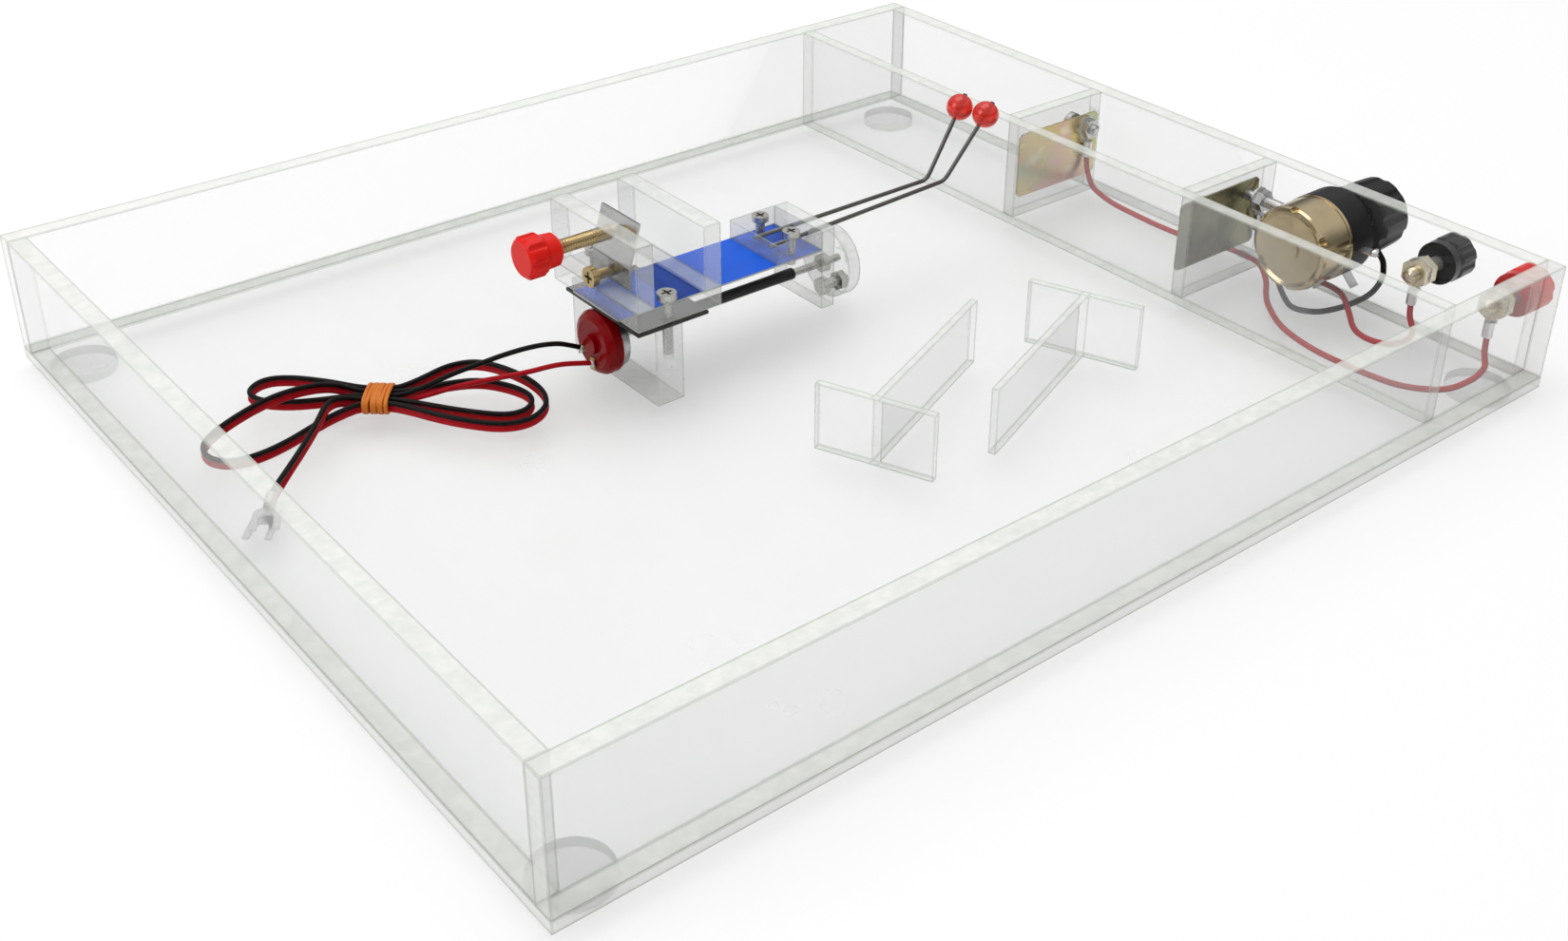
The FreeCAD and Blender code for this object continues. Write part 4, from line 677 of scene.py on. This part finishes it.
def make_thread(name, spot, heading, sizes, body, slot):
    """A threaded rod from a spot in mm along a heading, as a plain mesh."""
    holder = bpy.data.objects.new(name + "_source", bpy.data.meshes.new(name + "_source"))
    scene.collection.objects.link(holder)
    modifier = holder.modifiers.new("rod", "NODES")
    modifier.node_group = THREADED_ROD
    identifiers = {item.name: item.identifier for item in THREADED_ROD.interface.items_tree
                   if item.in_out == "INPUT"}
    for label, value in sizes.items():
        modifier[identifiers[label]] = value * MM
    modifier[identifiers["Finish"]] = FINISHES[slot].material
    graph = bpy.context.evaluated_depsgraph_get()
    mesh = bpy.data.meshes.new_from_object(holder.evaluated_get(graph))
    mesh.name = name
    bpy.data.objects.remove(holder)
    mesh.transform(Matrix.Translation(tray(*spot)) @ Vector((1, 0, 0)).rotation_difference(
        Vector(heading)).to_matrix().to_4x4())
    piece = bpy.data.objects.new(name, mesh)
    scene.collection.objects.link(piece)
    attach(piece, body)
    return piece


def thread_sizes(length, radius, pitch, depth, nose_length=0.0, nose_radius=0.0):
    return {"Length": length, "Radius": radius, "Pitch": pitch, "Depth": depth,
            "Nose Length": nose_length, "Nose Radius": nose_radius}


UNIT_LINE = 147.1
DRIVE_LEVEL = 17.4
RIGHTWARD = (1, 0, 0)
TOWARDS_VIEWER = (0, -1, 0)
SCREW_START = (88, UNIT_LINE, 46.5)
POST_THREADS = (("red", 12.3), ("black", 35.5))
POST_X, POST_LEVEL = 287.4, 24.3
BOLT_THREADS = (("near", 84.1, 6.3), ("far", 150.5, 1.3))
BOLT_X, BOLT_LEVEL = 288.5, 28
ECCENTRICITY = 7.2
NUT_REACH = 2.1


def make_threads():
    screw = make_thread("clamp_screw_thread", SCREW_START, RIGHTWARD,
                        thread_sizes(24.75, 1.9, 0.7, 0.36, 0.6, 1.0), "clamp_control", "brass")
    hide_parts("clamp_screw")
    for side, y in POST_THREADS:
        make_thread(side + "_post_thread", (POST_X, y, POST_LEVEL), RIGHTWARD,
                    thread_sizes(2.3, 2.16, 0.7, 0.26), "tank", "nickel_brass")
    for side, y, length in BOLT_THREADS:
        make_thread(side + "_bolt_thread", (BOLT_X, y, BOLT_LEVEL), TOWARDS_VIEWER,
                    thread_sizes(length, 1.64, 0.5, 0.2), "tank", "zinc_bolt")
    disc_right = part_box("eccentric_disc")[1].x / MM + ORIGIN.x
    spot = (disc_right + NUT_REACH, UNIT_LINE, DRIVE_LEVEL - ECCENTRICITY)
    make_thread("eccentric_bolt_thread", spot, RIGHTWARD, thread_sizes(1.2, 1.62, 0.5, 0.2),
                "eccentric", "screw_steel")


BAND_STRANDS = 7
STRAND_STEP = 0.9
STRAND_RADIUS = 0.55
STRAND_LEAN = 0.35
BAND_REACH = (4.95, 2.2)
BAND_ROUNDNESS = (0.6, 0.75)


def rounded_power(value, power):
    return math.copysign(abs(value) ** power, value)


def make_band():
    """Strands of the elastic band, each wound once round the hank's waist with a little lean."""
    shape = bmesh.new()
    sideways = HANK_TURN @ Vector((1, 0, 0))
    middle_rise = PAIR_STEP / 2
    first_along = -STRAND_STEP * (BAND_STRANDS - 1) / 2
    for strand in range(BAND_STRANDS):
        rings = []
        for turn in turns(64):
            across = rounded_power(math.cos(turn), BAND_ROUNDNESS[0]) * BAND_REACH[0]
            rise = rounded_power(math.sin(turn), BAND_ROUNDNESS[1]) * BAND_REACH[1]
            lean = STRAND_LEAN * math.sin(strand * 2.1) * math.sin(turn + strand)
            middle = lead_spot(first_along + strand * STRAND_STEP + lean, across, rise + middle_rise)
            outward = (lead_spot(0, across, rise) - lead_spot(0, 0, 0)).normalized()
            rings.append([middle + (outward * math.cos(part) + sideways * math.sin(part)) * STRAND_RADIUS
                          for part in turns(8)])
        skin(shape, rings, closed=True)
    band = finish_piece("band_strands", shape, "dipper_unit", "orange_band")
    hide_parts("lead_band")


def make_solder(name, spot, reach, body):
    """A lump of solder: a ball drawn out along each axis and roughened."""
    shape = bmesh.new()
    bmesh.ops.create_icosphere(shape, subdivisions=3, radius=1.0)
    for corner in shape.verts:
        swell = 1 + 0.18 * noise.noise(corner.co * 1.7 + Vector(spot))
        bulge = Vector([value * size * swell for value, size in zip(corner.co, reach)])
        corner.co = tray(*(Vector(spot) + bulge))
    finish_piece(name, shape, body, "tinned")


TAG_PROFILE = ((105.6, -1.5), (105.1, -1.4), (104.9, -0.6), (104.95, 0.8), (104.7, 1.7))
TAG_SHEET = Vector((0.3, 0, 0))


def make_motor_tags():
    """Bent brass tags on the motor's end cap, with the wires soldered on."""
    for side, y, z in (("red", 146.6, 12.2), ("black", 151.5, 14.4)):
        outward = Vector((0, y - UNIT_LINE, z - DRIVE_LEVEL)).normalized()
        across = Vector((0, -outward.z, outward.y))
        rings = []
        for x, out in TAG_PROFILE:
            middle = Vector((0, y, z)) + outward * out + Vector((x, 0, 0))
            rings.append([middle + across, middle - across,
                          middle - across + TAG_SHEET, middle + across + TAG_SHEET])
        shape = bmesh.new()
        skin(shape, rings)
        finish_piece(side + "_motor_tag", shape, "dipper_unit", "brass")
        make_solder(side + "_motor_solder", (104.75, y, z), (0.8, 1.1, 1.0), "dipper_unit")


LEAF_STEPS = 43


def make_leaf():
    """The leaf spring as a straight strip in short lengths, between its clamp and the rod block."""
    low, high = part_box("leaf_spring")
    low, high = low / MM + ORIGIN, high / MM + ORIGIN
    rings = []
    for step in range(LEAF_STEPS + 1):
        x = low.x + (high.x - low.x) * step / LEAF_STEPS
        rings.append([(x, low.y, low.z), (x, high.y, low.z), (x, high.y, high.z), (x, low.y, high.z)])
    shape = bmesh.new()
    skin(shape, rings)
    leaf = finish_piece("leaf_strip", shape, None, "blue_leaf")
    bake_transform(leaf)
    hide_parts("leaf_spring")


HOSE_STEPS = 40
HOSE_RADIUS = 1.5
HOSE_BORE_RADIUS = 1.02
HOSE_SWELL = 0.1
NECK_SHARE = 0.62


def make_hose():
    """The rubber tube, necked between the two shafts that it grips."""
    low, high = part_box("coupling_tube")
    start, end = low.x / MM + ORIGIN.x, high.x / MM + ORIGIN.x
    outer, inner = [], []
    for step in range(HOSE_STEPS + 1):
        share = step / HOSE_STEPS
        grip = max(abs(share - 0.5) * 2 - NECK_SHARE, 0) / (1 - NECK_SHARE)
        radius = HOSE_RADIUS + HOSE_SWELL * math.sin(min(grip, 1) * math.pi / 2)
        for ring, reach in ((outer, radius), (inner, HOSE_BORE_RADIUS)):
            ring.append([(start + (end - start) * share, UNIT_LINE + reach * math.cos(turn),
                          DRIVE_LEVEL + reach * math.sin(turn)) for turn in turns(24)])
    shape = bmesh.new()
    skin(shape, outer + inner[::-1], closed=True)
    hose = finish_piece("coupling_hose", shape, None, "black_rubber")
    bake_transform(hose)
    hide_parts("coupling_tube")


make_threads()
make_leaf()
make_hose()
make_band()
make_motor_tags()
make_solder("red_tag_solder", (288, 62.4, 12.1), (1.5, 1.1, 1.4), "tank")
make_solder("black_tag_solder", (288, 46.8, 26.7), (1.5, 1.4, 1.1), "tank")


# Floor, sky and lamps
FLOOR_HALF_SIZE = 4.0
FLOOR_GLOW = 0.58


def make_stage():
    """A pale floor that looks white to the camera and still takes soft shadows."""
    mesh = bpy.data.meshes.new("floor")
    shape = bmesh.new()
    bmesh.ops.create_grid(shape, x_segments=1, y_segments=1, size=FLOOR_HALF_SIZE)
    shape.to_mesh(mesh)
    shape.free()
    floor = bpy.data.objects.new("floor", mesh)
    scene.collection.objects.link(floor)
    finish = Finish("pale_floor")
    light_path = finish.node("ShaderNodeLightPath")
    finish.set(Base_Color=rgb(0.9, 0.9, 0.9), Roughness=0.9)
    glow = finish.tree.nodes.new("ShaderNodeEmission")
    glow.inputs["Color"].default_value = rgb(1, 1, 1)
    glow.inputs["Strength"].default_value = 1.0
    mix = finish.tree.nodes.new("ShaderNodeMixShader")
    finish.put(mix.inputs[0], light_path["Is Camera Ray"] * FLOOR_GLOW)
    finish.tree.links.new(finish.shader.outputs[0], mix.inputs[1])
    finish.tree.links.new(glow.outputs[0], mix.inputs[2])
    finish.tree.links.new(mix.outputs[0], finish.output.inputs["Surface"])
    mesh.materials.append(finish.material)


def make_world():
    """A pale studio, bright overhead and dim near the horizon in reflections, and white to the camera."""
    world = bpy.data.worlds.new("studio")
    world.use_nodes = True
    graph = Graph(world.node_tree)
    height = graph.axes(graph.node("ShaderNodeTexCoord")["Generated"])[2]
    back = world.node_tree.nodes["Background"]
    back.inputs["Color"].default_value = rgb(1, 1, 1)
    seen = graph.node("ShaderNodeLightPath")["Is Camera Ray"]
    graph.put(back.inputs["Strength"], (0.16 + height.step(0.1, 0.55) * 0.62).highest(seen))
    scene.world = world


def make_lamp(name, spot, aim, size, power):
    data = bpy.data.lights.new(name, "AREA")
    data.shape = "RECTANGLE"
    data.size, data.size_y = size
    data.energy = power
    lamp = bpy.data.objects.new(name, data)
    lamp.location = spot
    lamp.rotation_euler = (Vector(aim) - Vector(spot)).to_track_quat("-Z", "Y").to_euler()
    scene.collection.objects.link(lamp)


def make_lights():
    make_lamp("overhead_softbox", (0.1, 0.3, 1.3), (0, 0, 0), (1.2, 0.9), 7.2)
    make_lamp("left_softbox", (-1.2, 0.3, 0.7), (0, 0, 0), (0.6, 0.8), 5)


make_stage()
make_world()
make_lights()
scene.view_settings.view_transform = "Standard"
dress_cad_nodes()
